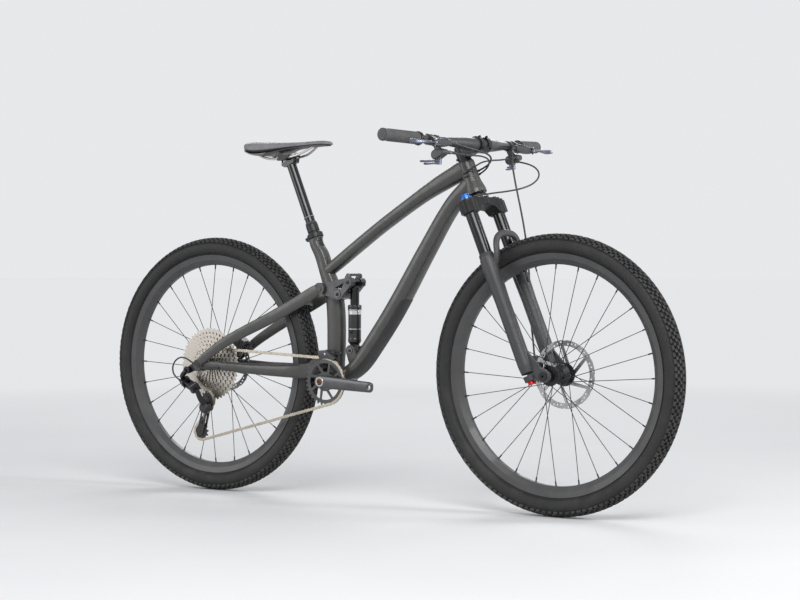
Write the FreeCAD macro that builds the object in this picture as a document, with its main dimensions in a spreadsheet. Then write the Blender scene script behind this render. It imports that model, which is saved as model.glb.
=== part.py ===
import FreeCAD, Part
import math
import os
import re

import Sketcher
from FreeCAD import Placement, Rotation, Vector

# Full-suspension mountain bike with 29 inch wheels, in millimetres.
# +X points forward, +Y to the rider's left, +Z up. The chain is on the -Y side.
# The origin lies on the ground, midway between the two axles.

DIMENSIONS = (
    # layout
    ("wheelbase", 1148.6), ("tyre_radius", 368), ("bracket_x", -138), ("bracket_height", 332),
    ("head_angle", 67.5), ("fork_offset", 44), ("seat_angle", 67.5),
    ("seat_top_x", -206.8), ("seat_top_height", 730),
    # frame tubes
    ("head_tube_low", 532), ("head_tube_length", 90), ("head_tube_radius", 22.5), ("head_tube_low_radius", 28.5),
    ("head_bore", 19.6), ("seat_tube_depth", 52), ("seat_tube_width", 42), ("seat_bore", 16),
    ("top_tube_depth", 34), ("top_tube_width", 42), ("down_tube_depth", 50), ("down_tube_width", 60),
    ("bracket_radius", 24), ("bracket_width", 92), ("spindle_radius", 12), ("guard_thickness", 3),
    # headset
    ("low_bearing_radius", 25.9), ("low_bearing_height", 8), ("top_bearing_radius", 20.9),
    ("top_bearing_height", 7), ("steerer_radius", 14.3), ("steerer_low_radius", 18.9),
    ("headset_cover_height", 7), ("running_gap", 0.05), ("seat_gap", 0.2),
    # fork
    ("stanchion_spacing", 134), ("stanchion_radius", 17), ("stanchion_advance", 4), ("crown_low", 474),
    ("crown_height", 40), ("crown_depth", 46), ("lowers_top", 342), ("lowers_radius", 21.5),
    ("lowers_foot_radius", 18), ("stanchion_foot", 142), ("seal_height", 9), ("front_hub_width", 110),
    ("dropout_thickness", 15), ("arch_reach", 46.5), ("arch_rise", 400), ("axle_radius", 7.5),
    # cockpit
    ("stem_height", 38), ("stem_reach", 60), ("bar_radius", 17.5), ("bar_end_radius", 11.1),
    ("bar_half_width", 375), ("bar_sweep", 9), ("bar_rise", 2), ("grip_length", 135), ("grip_radius", 15.5),
    # wheels
    ("rim_flange_radius", 317.5), ("rim_bed_radius", 288), ("rim_half_width", 18), ("rim_seat_radius", 311.5),
    ("tyre_half_width", 28), ("casing_radius", 362), ("tread_pitches", 48), ("spoke_count", 28),
    ("spoke_radius", 1), ("flange_radius", 27), ("front_rotor_radius", 90), ("rear_rotor_radius", 80),
    ("rotor_thickness", 2), ("rotor_plane", 41), ("rear_hub_width", 148), ("rear_rotor_plane", 57),
    # drivetrain
    ("chain_pitch", 12.7), ("ring_teeth", 32), ("ring_plane", -52), ("ring_thickness", 2),
    ("crank_length", 170), ("crank_tilt", -3.2), ("crank_width", 36), ("crank_thickness", 16),
    ("crank_plane", 86), ("pedal_bore", 7.14), ("cog_thickness", 1.7), ("cog_spacing", 3.45),
    ("cog_outer_plane", -65.5), ("freehub_radius", 17), ("chain_cog", 24), ("chain_half_width", 2.5),
    ("pulley_teeth", 12), ("pulley_thickness", 2), ("guide_x", -570), ("guide_height", 265),
    ("tension_x", -594), ("tension_height", 172), ("cage_thickness", 1.6), ("cage_half_gap", 5.2),
    ("cage_pivot_x", -566), ("cage_pivot_height", 244), ("link_length", 48), ("link_spread", 15),
    ("link_plane_x", -624), ("link_plane_y", -82), ("link_plane_height", 322),
    # rear suspension
    ("main_pivot_x", -145.5), ("main_pivot_height", 406), ("rocker_x", -106.5), ("rocker_height", 574),
    ("stay_pivot_x", -165.5), ("stay_pivot_height", 589), ("shock_top_x", -72.5), ("shock_top_height", 607),
    ("shock_low_x", -74), ("shock_low_height", 418), ("rocker_inner", 22), ("rocker_thickness", 13),
    ("shock_can_radius", 18.5), ("shock_shaft_radius", 12.5), ("shock_can_length", 112), ("pivot_radius", 7),
    ("open_pivot_gap", 4), ("yoke_inner", 24), ("yoke_width", 14),
    # seat
    ("post_radius", 15.8), ("post_top", 42), ("post_bottom", -160), ("dropper_radius", 13.9),
    ("dropper_exposed", 190), ("dropper_insert", 40), ("saddle_length", 280), ("saddle_width", 138), ("saddle_tilt", 5),
    ("rail_radius", 3.5), ("rail_spacing", 44),
    # lines
    ("hose_radius", 2.5),
)

doc = FreeCAD.newDocument("MountainBike")
sheet = doc.addObject("Spreadsheet::Sheet", "Dimensions")
for row, (alias, value) in enumerate(DIMENSIONS, start=1):
    sheet.set(f"A{row}", alias)
    sheet.set(f"B{row}", str(value))
    sheet.setAlias(f"B{row}", alias)
doc.recompute()

ALIASES = {alias for alias, _ in DIMENSIONS}
nodes = []
Y_AXIS = Vector(0, 1, 0)
DRIVE, LEFT = -1, 1


def mm(expression):
    """Value of an expression over the sheet's aliases."""
    return float(sheet.evalExpression(str(expression)))


def bound(expression):
    """The same expression as an object property reads it."""
    return re.sub(r"[a-z_]{3,}", lambda word: "Dimensions." + word[0] if word[0] in ALIASES else word[0],
                  str(expression))


def upright(angle_alias, foot):
    """Frame whose Z runs up a leaning axis, X forward and Y left."""
    return Placement(foot, Rotation(Y_AXIS, mm(angle_alias) - 90))


AXLE_X = mm("wheelbase / 2")
AXLE_Z = mm("tyre_radius")
FRONT_AXLE = Vector(AXLE_X, 0, AXLE_Z)
REAR_AXLE = Vector(-AXLE_X, 0, AXLE_Z)
HEAD_TURN = Rotation(Y_AXIS, mm("head_angle") - 90)
STEER = Placement(FRONT_AXLE - HEAD_TURN.multVec(Vector(mm("fork_offset"), 0, 0)), HEAD_TURN)
SEAT = upright("seat_angle", Vector(mm("seat_top_x"), 0, mm("seat_top_height")))
BRACKET = Vector(mm("bracket_x"), 0, mm("bracket_height"))


def steer(along, forward, side):
    """World point from a place in the steering frame."""
    return STEER.multVec(Vector(forward, side, along))


def add_node(label, shape, placement=None):
    """Keep a shape that no feature makes as a named sub-part."""
    feature = doc.addObject("Part::Feature", label)
    feature.Label = label
    feature.Shape = shape
    if placement:
        feature.Placement = placement
    nodes.append(feature)
    return feature


class Sub:
    """A PartDesign body whose sketches are bound to the sheet."""

    def __init__(self, label, placement=None):
        self.body = doc.addObject("PartDesign::Body", label)
        self.body.Label = label
        if placement:
            self.body.Placement = placement
        self.count = 0
        nodes.append(self.body)

    def add(self, kind, **settings):
        self.count += 1
        feature = self.body.newObject(kind, f"{self.body.Name}_{self.count}")
        for key, value in settings.items():
            setattr(feature, key, value)
        return feature

    def sketch(self, plane, loops=(), circles=(), offset="0"):
        """Closed polygons and circles, each coordinate held by a bound constraint."""
        sketch = self.add("Sketcher::SketchObject")
        origin = next(f for f in self.body.Origin.OriginFeatures if f.Role == plane)
        sketch.AttachmentSupport = [(origin, "")]
        sketch.MapMode = "FlatFace"
        sketch.setExpression("AttachmentOffset.Base.z", bound(offset))
        for loop in loops:
            corners = [(mm(x), mm(y)) for x, y in loop]
            first = sketch.GeometryCount
            total = len(corners)
            for i, (x, y) in enumerate(corners):
                to_x, to_y = corners[(i + 1) % total]
                sketch.addGeometry(Part.LineSegment(Vector(x, y, 0), Vector(to_x, to_y, 0)), False)
            for i in range(total):
                sketch.addConstraint(Sketcher.Constraint("Coincident", first + i, 2, first + (i + 1) % total, 1))
            for i, (x, y) in enumerate(loop):
                self.hold(sketch, "DistanceX", first + i, 1, x)
                self.hold(sketch, "DistanceY", first + i, 1, y)
        for x, y, radius in circles:
            circle = sketch.addGeometry(Part.Circle(Vector(mm(x), mm(y), 0), Vector(0, 0, 1), mm(radius)), False)
            self.hold(sketch, "DistanceX", circle, 3, x)
            self.hold(sketch, "DistanceY", circle, 3, y)
            index = sketch.addConstraint(Sketcher.Constraint("Radius", circle, mm(radius)))
            sketch.setExpression(f"Constraints[{index}]", bound(radius))
        return sketch

    @staticmethod
    def hold(sketch, kind, geometry, point, expression):
        index = sketch.addConstraint(Sketcher.Constraint(kind, -1, 1, geometry, point, mm(expression)))
        if not isinstance(expression, (int, float)):
            sketch.setExpression(f"Constraints[{index}]", bound(expression))

    def extrude(self, kind, sketch, length, side="One side", reverse=False):
        feature = self.add(kind, Profile=sketch)
        feature.setExpression("Length", bound(length))
        feature.SideType = side
        feature.Reversed = reverse
        return feature

    def pad(self, sketch, length, side="One side", reverse=False):
        return self.extrude("PartDesign::Pad", sketch, length, side, reverse)

    def cut(self, sketch, length, side="One side", reverse=False):
        return self.extrude("PartDesign::Pocket", sketch, length, side, reverse)

    def turn(self, sketch, kind="PartDesign::Revolution"):
        feature = self.add(kind, Profile=sketch)
        feature.ReferenceAxis = (sketch, ["V_Axis"])
        feature.Angle = 360
        return feature

    def ring_of(self, feature, sketch, count):
        pattern = self.add("PartDesign::PolarPattern", Originals=[feature])
        pattern.Axis = (sketch, ["N_Axis"])
        pattern.Angle = 360
        pattern.Occurrences = count
        self.body.Tip = pattern
        return pattern


def turned(label, profile, placement, plane="XY_Plane"):
    """A body of one revolution about the plane's vertical axis."""
    sub = Sub(label, placement)
    sub.turn(sub.sketch(plane, [profile]))
    return sub


def rod(start, end, radius):
    """A round bar between two points."""
    run = end - start
    return Part.makeCylinder(radius, run.Length, start, run)


def block(centre, size):
    """A box about a centre point."""
    corner = centre - Vector(*size) * 0.5
    return Part.makeBox(*size, corner)


def polygon_face(points):
    return Part.Face(Part.makePolygon(list(points) + [points[0]]))


def outline_plate(points, low, high):
    """A plate upright in XZ, with its outline given there, between two places on Y."""
    face = polygon_face([Vector(x, low, z) for x, z in points])
    return face.extrude(Vector(0, high - low, 0))


def bar_outline(first, second, first_radius, second_radius):
    """Face in XZ of two discs and the straight flanks that join them."""
    run = second - first
    reach = run.Length
    lean = math.acos(max(-1.0, min(1.0, (first_radius - second_radius) / reach)))
    heading = math.atan2(run.z, run.x)
    spots = []
    for sign in (1, -1):
        across = Vector(math.cos(heading + sign * lean), 0, math.sin(heading + sign * lean))
        spots.append((first + across * first_radius, second + across * second_radius))
    unit = run * (1 / reach)
    far = Part.Arc(spots[0][1], second + unit * second_radius, spots[1][1])
    near = Part.Arc(spots[1][0], first - unit * first_radius, spots[0][0])
    edges = [Part.LineSegment(*spots[0]).toShape(), far.toShape(),
             Part.LineSegment(spots[1][1], spots[1][0]).toShape(), near.toShape()]
    return Part.Face(Part.Wire(edges))


def link_plate(first, second, first_radius, second_radius, low, high):
    """A two-ended link plate in XZ between two places on Y."""
    face = bar_outline(Vector(first[0], low, first[1]), Vector(second[0], low, second[1]),
                       first_radius, second_radius)
    return face.extrude(Vector(0, high - low, 0))


def drum(x, z, radius, low, high):
    """A disc or bar along Y."""
    return Part.makeCylinder(radius, high - low, Vector(x, low, z), Y_AXIS)


def evened(rows, axes, spacing=42.0):
    """Rows of numbers drawn through by a smooth curve and taken again at even steps."""
    places = [0.0]
    for a, b in zip(rows, rows[1:]):
        places.append(places[-1] + math.dist(a[:axes], b[:axes]))
    last = len(rows) - 1
    slopes = []
    for i in range(last + 1):
        low, high = max(i - 1, 0), min(i + 1, last)
        slopes.append([(b - a) / (places[high] - places[low]) for a, b in zip(rows[low], rows[high])])
    count = max(4, round(places[-1] / spacing))
    even, k = [], 0
    for step in range(count + 1):
        want = places[-1] * step / count
        while k < last - 1 and places[k + 1] < want:
            k += 1
        gap = places[k + 1] - places[k]
        t = (want - places[k]) / gap
        blend = (2 * t ** 3 - 3 * t ** 2 + 1, (t ** 3 - 2 * t ** 2 + t) * gap, 3 * t ** 2 - 2 * t ** 3,
                 (t ** 3 - t ** 2) * gap)
        ends = zip(rows[k], slopes[k], rows[k + 1], slopes[k + 1])
        even.append([sum(w * v for w, v in zip(blend, values)) for values in ends])
    return even


def rounded_section(centre, across, side, depth, width, power=2.6):
    """Closed rounded section: depth runs along across, width along side."""
    points = []
    for step in range(12):
        angle = 2 * math.pi * step / 12
        along = abs(math.cos(angle)) ** (2 / power) * math.copysign(1, math.cos(angle))
        beside = abs(math.sin(angle)) ** (2 / power) * math.copysign(1, math.sin(angle))
        points.append(centre + across * (along * depth / 2) + side * (beside * width / 2))
    curve = Part.BSplineCurve()
    curve.interpolate(Points=points, Parameters=[step / 12 for step in range(13)], PeriodicFlag=True)
    return Part.Wire(curve.toShape())


def tube_xz(stations, power=2.6, side=0.0):
    """Loft through sections in the bike's middle plane: x, z, heading, depth, width."""
    wires = []
    for x, z, heading, depth, width in evened(stations, 2):
        turn = math.radians(heading)
        across = Vector(-math.sin(turn), 0, math.cos(turn))
        wires.append(rounded_section(Vector(x, side, z), across, Y_AXIS, depth, width, power))
    return Part.makeLoft(wires, True, False)


def tube_through(points, sizes, up=Vector(0, 0, 1), power=2.4, spacing=24.0):
    """Loft along points in space: sizes are height and breadth at each."""
    rows = evened([(p.x, p.y, p.z, *size) for p, size in zip(points, sizes)], 3, spacing)
    points = [Vector(*row[:3]) for row in rows]
    sizes = [row[3:] for row in rows]
    wires = []
    for i, (point, (height, breadth)) in enumerate(zip(points, sizes)):
        before = points[max(i - 1, 0)]
        after = points[min(i + 1, len(points) - 1)]
        heading = (after - before).normalize()
        side = heading.cross(up).normalize()
        wires.append(rounded_section(point, side.cross(heading), side, height, breadth, power))
    return Part.makeLoft(wires, True, False)


def mirrored(shape):
    return shape.mirror(Vector(0, 0, 0), Y_AXIS)


def less(shape, tools):
    """A shape with each tool taken away in turn."""
    for tool in tools:
        shape = shape.cut(tool)
    return shape


def one_solid(shape):
    """The single solid of a boolean result."""
    solids = sorted(shape.Solids, key=lambda s: s.Volume)
    return solids[-1]


def line_run(name, points, radius):
    """A hose or cable: straight runs joined by tangent arcs, as a round bar."""
    points = [Vector(*p) for p in points]
    edges, start, radii = [], points[0], []
    for i in range(1, len(points) - 1):
        back = points[i - 1] - points[i]
        ahead = points[i + 1] - points[i]
        half_turn = (math.pi - back.getAngle(ahead)) / 2
        reach = 0.45 * min(back.Length, ahead.Length)
        bend = reach / math.tan(half_turn)
        radii.append(bend)
        back.normalize()
        ahead.normalize()
        first, last = points[i] + back * reach, points[i] + ahead * reach
        inward = (back + ahead).normalize()
        middle = points[i] + inward * (bend / math.cos(half_turn) - bend)
        edges.append(Part.LineSegment(start, first).toShape())
        edges.append(Part.Arc(first, middle, last).toShape())
        start = last
    edges.append(Part.LineSegment(start, points[-1]).toShape())
    path = Part.Wire(edges)
    heading = (points[1] - points[0]).normalize()
    section = Part.Wire(Part.makeCircle(radius, points[0], heading))
    tube = path.makePipeShell([section], True, False)
    expected = math.pi * radius ** 2 * path.Length
    print(f"{name}: length {path.Length:.0f}, smallest bend {min(radii):.1f}, "
          f"volume ratio {tube.Volume / expected:.4f}")
    return tube


# ---------------------------------------------------------------- frame

head_low = "head_tube_low"
head_high = "head_tube_low + head_tube_length"


def build_head_tube():
    sub = Sub("head_tube", STEER)
    outer = [("head_bore", head_low), ("head_tube_low_radius", head_low),
             ("head_tube_low_radius", f"{head_low} + 10"), ("head_tube_radius + 1", f"{head_low} + 32"),
             ("head_tube_radius", f"{head_low} + head_tube_length / 2"),
             ("head_tube_radius + 0.5", head_high), ("head_bore", head_high)]
    sub.turn(sub.sketch("XZ_Plane", [outer]))
    low_seat = [(0, head_low), ("low_bearing_radius", head_low),
                ("low_bearing_radius", f"{head_low} + low_bearing_height"),
                (0, f"{head_low} + low_bearing_height")]
    sub.turn(sub.sketch("XZ_Plane", [low_seat]), "PartDesign::Groove")
    top_seat = [(0, f"{head_high} - top_bearing_height"), ("top_bearing_radius", f"{head_high} - top_bearing_height"),
                ("top_bearing_radius", head_high), (0, head_high)]
    sub.turn(sub.sketch("XZ_Plane", [top_seat]), "PartDesign::Groove")
    height = f"{head_low} + 0.69 * head_tube_length"
    spots = [(f"{side}(head_tube_radius + 1.5)", f"{height} - {drop}", 4.6) for side in ("", "-") for drop in (0, 10)]
    sub.pad(sub.sketch("YZ_Plane", circles=spots, offset="-4"), 12)
    sub.cut(sub.sketch("XY_Plane", circles=[(0, 0, "head_bore")], offset=f"{head_low} - 1"),
            "head_tube_length + 2", reverse=True)


def head_envelope():
    """The head tube's outside as a filled form that the other tubes meet."""
    low, high = mm(head_low), mm(head_high)
    radius, low_radius = mm("head_tube_radius"), mm("head_tube_low_radius")
    profile = [Vector(0, 0, low - 1), Vector(low_radius, 0, low - 1), Vector(low_radius, 0, low + 10),
               Vector(radius + 1, 0, low + 32), Vector(radius, 0, (low + high) / 2),
               Vector(radius + 0.5, 0, high), Vector(radius + 0.5, 0, high + 60), Vector(0, 0, high + 60)]
    solid = polygon_face(profile).revolve(Vector(0, 0, 0), Vector(0, 0, 1), 360)
    solid.Placement = STEER
    return solid


def ahead_of_head():
    """Everything in front of the steering axis."""
    space = Part.makeBox(400, 400, 1200, Vector(0, -200, -100))
    space.Placement = STEER
    return space


def seat_point(along, forward=0.0):
    return SEAT.multVec(Vector(forward, 0, along))


def build_frame_tubes():
    envelope = head_envelope()
    front = ahead_of_head()
    shell_fill = drum(BRACKET.x, BRACKET.z, mm("bracket_radius"), mm("-bracket_width / 2"), mm("bracket_width / 2"))
    depth, width = mm("seat_tube_depth"), mm("seat_tube_width")
    lean = mm("seat_angle")
    knee = seat_point(-118)
    low_x = BRACKET.x + 2
    mast = [(seat_point(along).x, seat_point(along).z, 180 - lean, high, width - 4)
            for along, high in ((-97, 40), (-65, 38.5), (-32, 37.5), (0, 2 * mm("post_radius") + 5.5))]
    seat_stations = [(BRACKET.x - 2, BRACKET.z + 4, 90, depth - 6, width),
                     (low_x, BRACKET.z + 108, 90, depth, width),
                     (low_x - 1, BRACKET.z + 188, 92, depth, width),
                     (BRACKET.x - 5.5, BRACKET.z + 238, 101, depth - 2, width - 1),
                     (BRACKET.x - 19, BRACKET.z + 275, 109, depth - 8, width - 2)] + mast
    seat_solid = tube_xz(seat_stations)
    bore = Part.makeCylinder(mm("seat_bore"), 190, Vector(0, 0, -170), Vector(0, 0, 1))
    bore.Placement = SEAT
    top_depth, top_width = mm("top_tube_depth"), mm("top_tube_width")
    crest = steer(mm(head_high) - 26, -8, 0)
    top_stations = [(-160, 640, 32, top_depth, top_width - 4), (-122, 665, 33, top_depth, top_width - 2),
                    (-80, 693.5, 34, top_depth, top_width), (-37, 722.5, 34, top_depth, top_width),
                    (14, 756, 33, top_depth, top_width), (64, 787, 31.5, top_depth + 1, top_width),
                    (114, 817, 31, top_depth + 2, top_width), (164, 846, 31, top_depth + 5, top_width),
                    (212, 871, 31, top_depth + 11, top_width + 1),
                    (crest.x, crest.z + 14, 32, top_depth + 18, top_width + 2)]
    top_solid = tube_xz(top_stations)
    down_depth, down_width = mm("down_tube_depth"), mm("down_tube_width")
    throat = steer(mm(head_low) + 34, 0, 0)
    down_stations = [(BRACKET.x + 8, BRACKET.z + 3, 28, down_depth - 6, down_width + 4),
                     (-62, 371, 42, down_depth - 6, down_width + 6), (9, 456, 53, down_depth, down_width + 2),
                     (72, 542, 55.5, down_depth, down_width), (170, 693, 57, down_depth - 4, down_width - 6),
                     (252, 812, 56, down_depth - 6, down_width - 12),
                     (throat.x, throat.z, 55, down_depth, down_width - 16)]
    down_solid = tube_xz(down_stations)
    lug = drum(mm("shock_low_x"), mm("shock_low_height"), 15, -22, 22)
    web = link_plate((mm("shock_low_x"), mm("shock_low_height")), (-58, 375), 15, 16, -22, 22)
    down_solid = down_solid.fuse(lug).fuse(web)
    can_room = drum(mm("shock_low_x"), mm("shock_low_height"), 21, -11.5, 11.5)
    eye_bore = drum(mm("shock_low_x"), mm("shock_low_height"), mm("pivot_radius - 2"), -30, 30)
    down_solid = down_solid.cut(can_room).cut(eye_bore)
    pivot_lug = drum(mm("main_pivot_x"), mm("main_pivot_height"), 15, mm("-yoke_inner"), mm("yoke_inner"))
    rocker_lug = drum(mm("rocker_x"), mm("rocker_height"), 13, mm("-rocker_inner"), mm("rocker_inner"))
    rocker_web = link_plate((mm("rocker_x"), mm("rocker_height")), (knee.x + 14, knee.z - 52), 13, 18, -18, 18)
    main_hole = drum(mm("main_pivot_x"), mm("main_pivot_height"), mm("pivot_radius"), -60, 60)
    rocker_hole = drum(mm("rocker_x"), mm("rocker_height"), mm("pivot_radius"), -60, 60)
    seat_solid = less(seat_solid.fuse([pivot_lug, rocker_lug, rocker_web]), [shell_fill, bore, main_hole, rocker_hole])
    shell = shell_fill.cut(drum(BRACKET.x, BRACKET.z, mm("bracket_radius - 3.2"), -90, 90))
    seat_solid = one_solid(seat_solid.fuse(shell))
    down_solid = one_solid(less(down_solid, [envelope, front, shell_fill, seat_solid, bore]))
    top_solid = one_solid(less(top_solid, [envelope, front, bore, seat_solid, down_solid]))
    add_node("seat_tube", seat_solid)
    add_node("down_tube", down_solid)
    add_node("top_tube", top_solid)


def build_bearings():
    """Headset bearings and bottom bracket cups, the rings pressed into the frame."""
    low = mm(head_low)
    high = mm(head_high)
    gap = mm("running_gap")
    rings = []
    for start, height, outer, inner in (
            (low, mm("low_bearing_height"), mm("low_bearing_radius"), mm("steerer_low_radius") + gap),
            (high - mm("top_bearing_height"), mm("top_bearing_height"), mm("top_bearing_radius"),
             mm("steerer_radius") + gap)):
        ring = Part.makeCylinder(outer, height, Vector(0, 0, start))
        ring = ring.cut(Part.makeCylinder(inner, height, Vector(0, 0, start)))
        ring.Placement = STEER
        rings.append(ring)
    half = mm("bracket_width / 2")
    for side in (DRIVE, LEFT):
        outer = drum(0, 0, mm("bracket_radius - 3.2"), 0, 12).fuse(drum(0, 0, mm("bracket_radius - 1"), 12, 13.5))
        cup = outer.cut(drum(0, 0, mm("spindle_radius + running_gap"), -1, 20))
        cup.translate(Vector(0, half - 12, 0))
        cup = cup if side == LEFT else mirrored(cup)
        cup.translate(BRACKET)
        rings.append(cup)
    return rings


def build_pivot_axles():
    """Axles that stay in the frame: main pivot, rocker pivot and the shock's lower bolt."""
    radius = mm("pivot_radius")
    bolts = []
    reach = mm("yoke_inner + yoke_width")
    main = drum(mm("main_pivot_x"), mm("main_pivot_height"), radius - 0.05, -reach, reach)
    heads = [drum(mm("main_pivot_x"), mm("main_pivot_height"), 10.5, low, low + 2.5)
             for low in (-reach - 2.7, reach + 0.2)]
    necks = [drum(mm("main_pivot_x"), mm("main_pivot_height"), radius - 0.05, low, low + 0.3)
             for low in (-reach - 0.25, reach - 0.05)]
    bolts.append(one_solid(main.fuse(heads + necks)))
    width = mm("rocker_inner + rocker_thickness")
    rocker = drum(mm("rocker_x"), mm("rocker_height"), radius - 0.05, -width - 0.25, width + 0.25)
    caps = [drum(mm("rocker_x"), mm("rocker_height"), 9.5, low, low + 2.2) for low in (-width - 2.4, width + 0.2)]
    bolts.append(one_solid(rocker.fuse(caps)))
    shock = drum(mm("shock_low_x"), mm("shock_low_height"), mm("pivot_radius - 2.05"), -22.2, 22.2)
    ends = [drum(mm("shock_low_x"), mm("shock_low_height"), 8, low, low + 2) for low in (-24, 22)]
    bolts.append(one_solid(shock.fuse(ends)))
    return bolts


def build_seat_parts():
    clamp = turned("seat_clamp", [("post_radius + 0.3", 1.2), ("post_radius + 7", 1.2), ("post_radius + 7", 12),
                                  ("post_radius + 5", 15), ("post_radius + 0.3", 15)], SEAT, "XZ_Plane")
    ears = clamp.sketch("XY_Plane", [[("-post_radius - 5", -7), ("-post_radius - 5", 7), ("-post_radius - 14", 7),
                                      ("-post_radius - 14", -7)]], offset="1.2")
    clamp.pad(ears, 11)
    slot = clamp.sketch("XY_Plane", [[(-60, -0.8), (-60, 0.8), (0, 0.8), (0, -0.8)]], offset="1.2")
    clamp.cut(slot, 20, reverse=True)
    outer = [("dropper_radius + 0.25", "post_bottom + 8"), ("post_radius", "post_bottom + 8"), ("post_radius", 18),
             ("post_radius + 1.6", 20), ("post_radius + 1.6", "post_top - 2"),
             ("post_radius", "post_top"), ("dropper_radius + 0.25", "post_top")]
    turned("seatpost_outer", outer, SEAT, "XZ_Plane")
    top = "post_top + dropper_exposed"
    shaft = Sub("dropper_stanchion", SEAT)
    shaft.pad(shaft.sketch("XY_Plane", circles=[(0, 0, "dropper_radius")], offset="post_top - dropper_insert"),
              "dropper_exposed + dropper_insert")
    head = shaft.sketch("XZ_Plane", [[(-17, f"{top} - 6"), (17, f"{top} - 6"), (24, f"{top} + 4"),
                                      (21, f"{top} + 9"), (-21, f"{top} + 9"), (-24, f"{top} + 2")]])
    shaft.pad(head, 28, "Symmetric")


# ---------------------------------------------------------------- saddle

def saddle_origin():
    """Point midway between the rails, where the clamp grips them."""
    return SEAT.multVec(Vector(0, 0, mm("post_top + dropper_exposed") + 16))


def build_saddle():
    base = saddle_origin()
    half = mm("rail_spacing / 2")
    radius = mm("rail_radius")

    def tilted(shape):
        shape.rotate(base, Y_AXIS, -mm("saddle_tilt"))
        return shape

    lower = block(base + Vector(0, 0, -3.3), (44, 2 * half + 14, 6.2))
    upper = block(base + Vector(0, 0, 3.7), (38, 2 * half + 12, 6.2))
    rails_bore = [rod(base + Vector(-60, side * half, 0), base + Vector(60, side * half, 0), radius + 0.05)
                  for side in (DRIVE, LEFT)]
    seat_cut = Part.makeBox(90, 60, 40, Vector(-45, -30, mm("post_top + dropper_exposed") + 9 - 40))
    seat_cut.Placement = SEAT
    lower = one_solid(tilted(lower.cut(rails_bore)).cut(seat_cut))
    bolts = [rod(base + Vector(x, 0, -16), base + Vector(x, 0, 9), 2.6) for x in (-25, 25)]
    plates = [block(base + Vector(x, 0, 3.7), (10, 16, 6.2)) for x in (-24, 24)]
    upper = tilted(upper.cut(rails_bore).fuse(plates + bolts)).cut(lower)
    upper = one_solid(upper.cut(doc.getObject("dropper_stanchion").Shape))
    add_node("saddle_clamp", Part.makeCompound([lower, upper]))
    rails = []
    for side in (DRIVE, LEFT):
        rail_points = [base + Vector(dx, side * dy, dz) for dx, dy, dz in
                       ((-99, half + 15, 34), (-77, half + 6, 10), (-44, half, 0), (25, half, 0), (50, half - 1, 3),
                        (74, half - 7, 11), (98, half - 14, 22))]
        rails.append(tilted(line_run("rail", rail_points, radius)))
    add_node("saddle_rails", Part.makeCompound(rails))
    length, width = mm("saddle_length"), mm("saddle_width")
    tail = base + Vector(-128, 0, 0)
    stations = []
    for along, breadth, thick, top in ((0.0, 0.7, 18, 44), (0.05, 0.9, 30, 47), (0.14, 1.0, 40, 48.5),
                                       (0.26, 0.94, 38, 47), (0.38, 0.74, 29, 45), (0.5, 0.5, 21, 43.5),
                                       (0.62, 0.36, 17.5, 43.5), (0.74, 0.31, 16, 44.5), (0.86, 0.27, 15, 45),
                                       (0.95, 0.22, 13, 43), (1.0, 0.13, 8, 38)):
        centre = tail + Vector(along * length, 0, top - thick / 2)
        stations.append(rounded_section(centre, Vector(0, 0, 1), Y_AXIS, thick, breadth * width, 2.5))
    shell = Part.makeLoft(stations, True, False)
    add_node("saddle", one_solid(less(shell, rails)))


# ---------------------------------------------------------------- fork and cockpit

def build_crown():
    half = "stanchion_spacing / 2"
    top = "crown_low + crown_height"
    sub = Sub("fork_crown", STEER)
    outline = [(f"-{half} - 20", "crown_low"), (f"-{half} - 20", f"{top} - 8"), (f"-{half} + 4", f"{top} - 1"),
               ("-steerer_low_radius - 12", top), ("steerer_low_radius + 12", top), (f"{half} - 4", f"{top} - 1"),
               (f"{half} + 20", f"{top} - 8"), (f"{half} + 20", "crown_low"), (f"{half} - 20", "crown_low"),
               (f"{half} - 34", f"{top} - 25"), (0, f"{top} - 21"), (f"34 - {half}", f"{top} - 25"),
               (f"20 - {half}", "crown_low")]
    sub.pad(sub.sketch("YZ_Plane", [outline], offset="stanchion_advance"), "crown_depth - 8", "Symmetric")
    for side in ("-", ""):
        socket = sub.sketch("XY_Plane", circles=[("stanchion_advance", f"{side}{half}", "crown_depth / 2")],
                            offset="crown_low")
        sub.pad(socket, "crown_height - 4")
    steerer = [(0, f"{top} - 20"), ("steerer_low_radius + 6", f"{top} - 20"), ("steerer_low_radius + 6", f"{top} + 12"),
               ("steerer_low_radius", f"{top} + 16"), ("steerer_low_radius", f"{head_low} + low_bearing_height + 2"),
               ("steerer_radius", f"{head_low} + head_tube_length / 2"),
               ("steerer_radius", f"{head_high} + headset_cover_height + stem_height - 3"),
               (0, f"{head_high} + headset_cover_height + stem_height - 3")]
    sub.turn(sub.sketch("XZ_Plane", [steerer]))
    holes = sub.sketch("XY_Plane", circles=[("stanchion_advance", f"-{half}", "stanchion_radius + running_gap"),
                                            ("stanchion_advance", half, "stanchion_radius + running_gap")],
                       offset="crown_low - 5")
    sub.cut(holes, "crown_height + 20", reverse=True)


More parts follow.
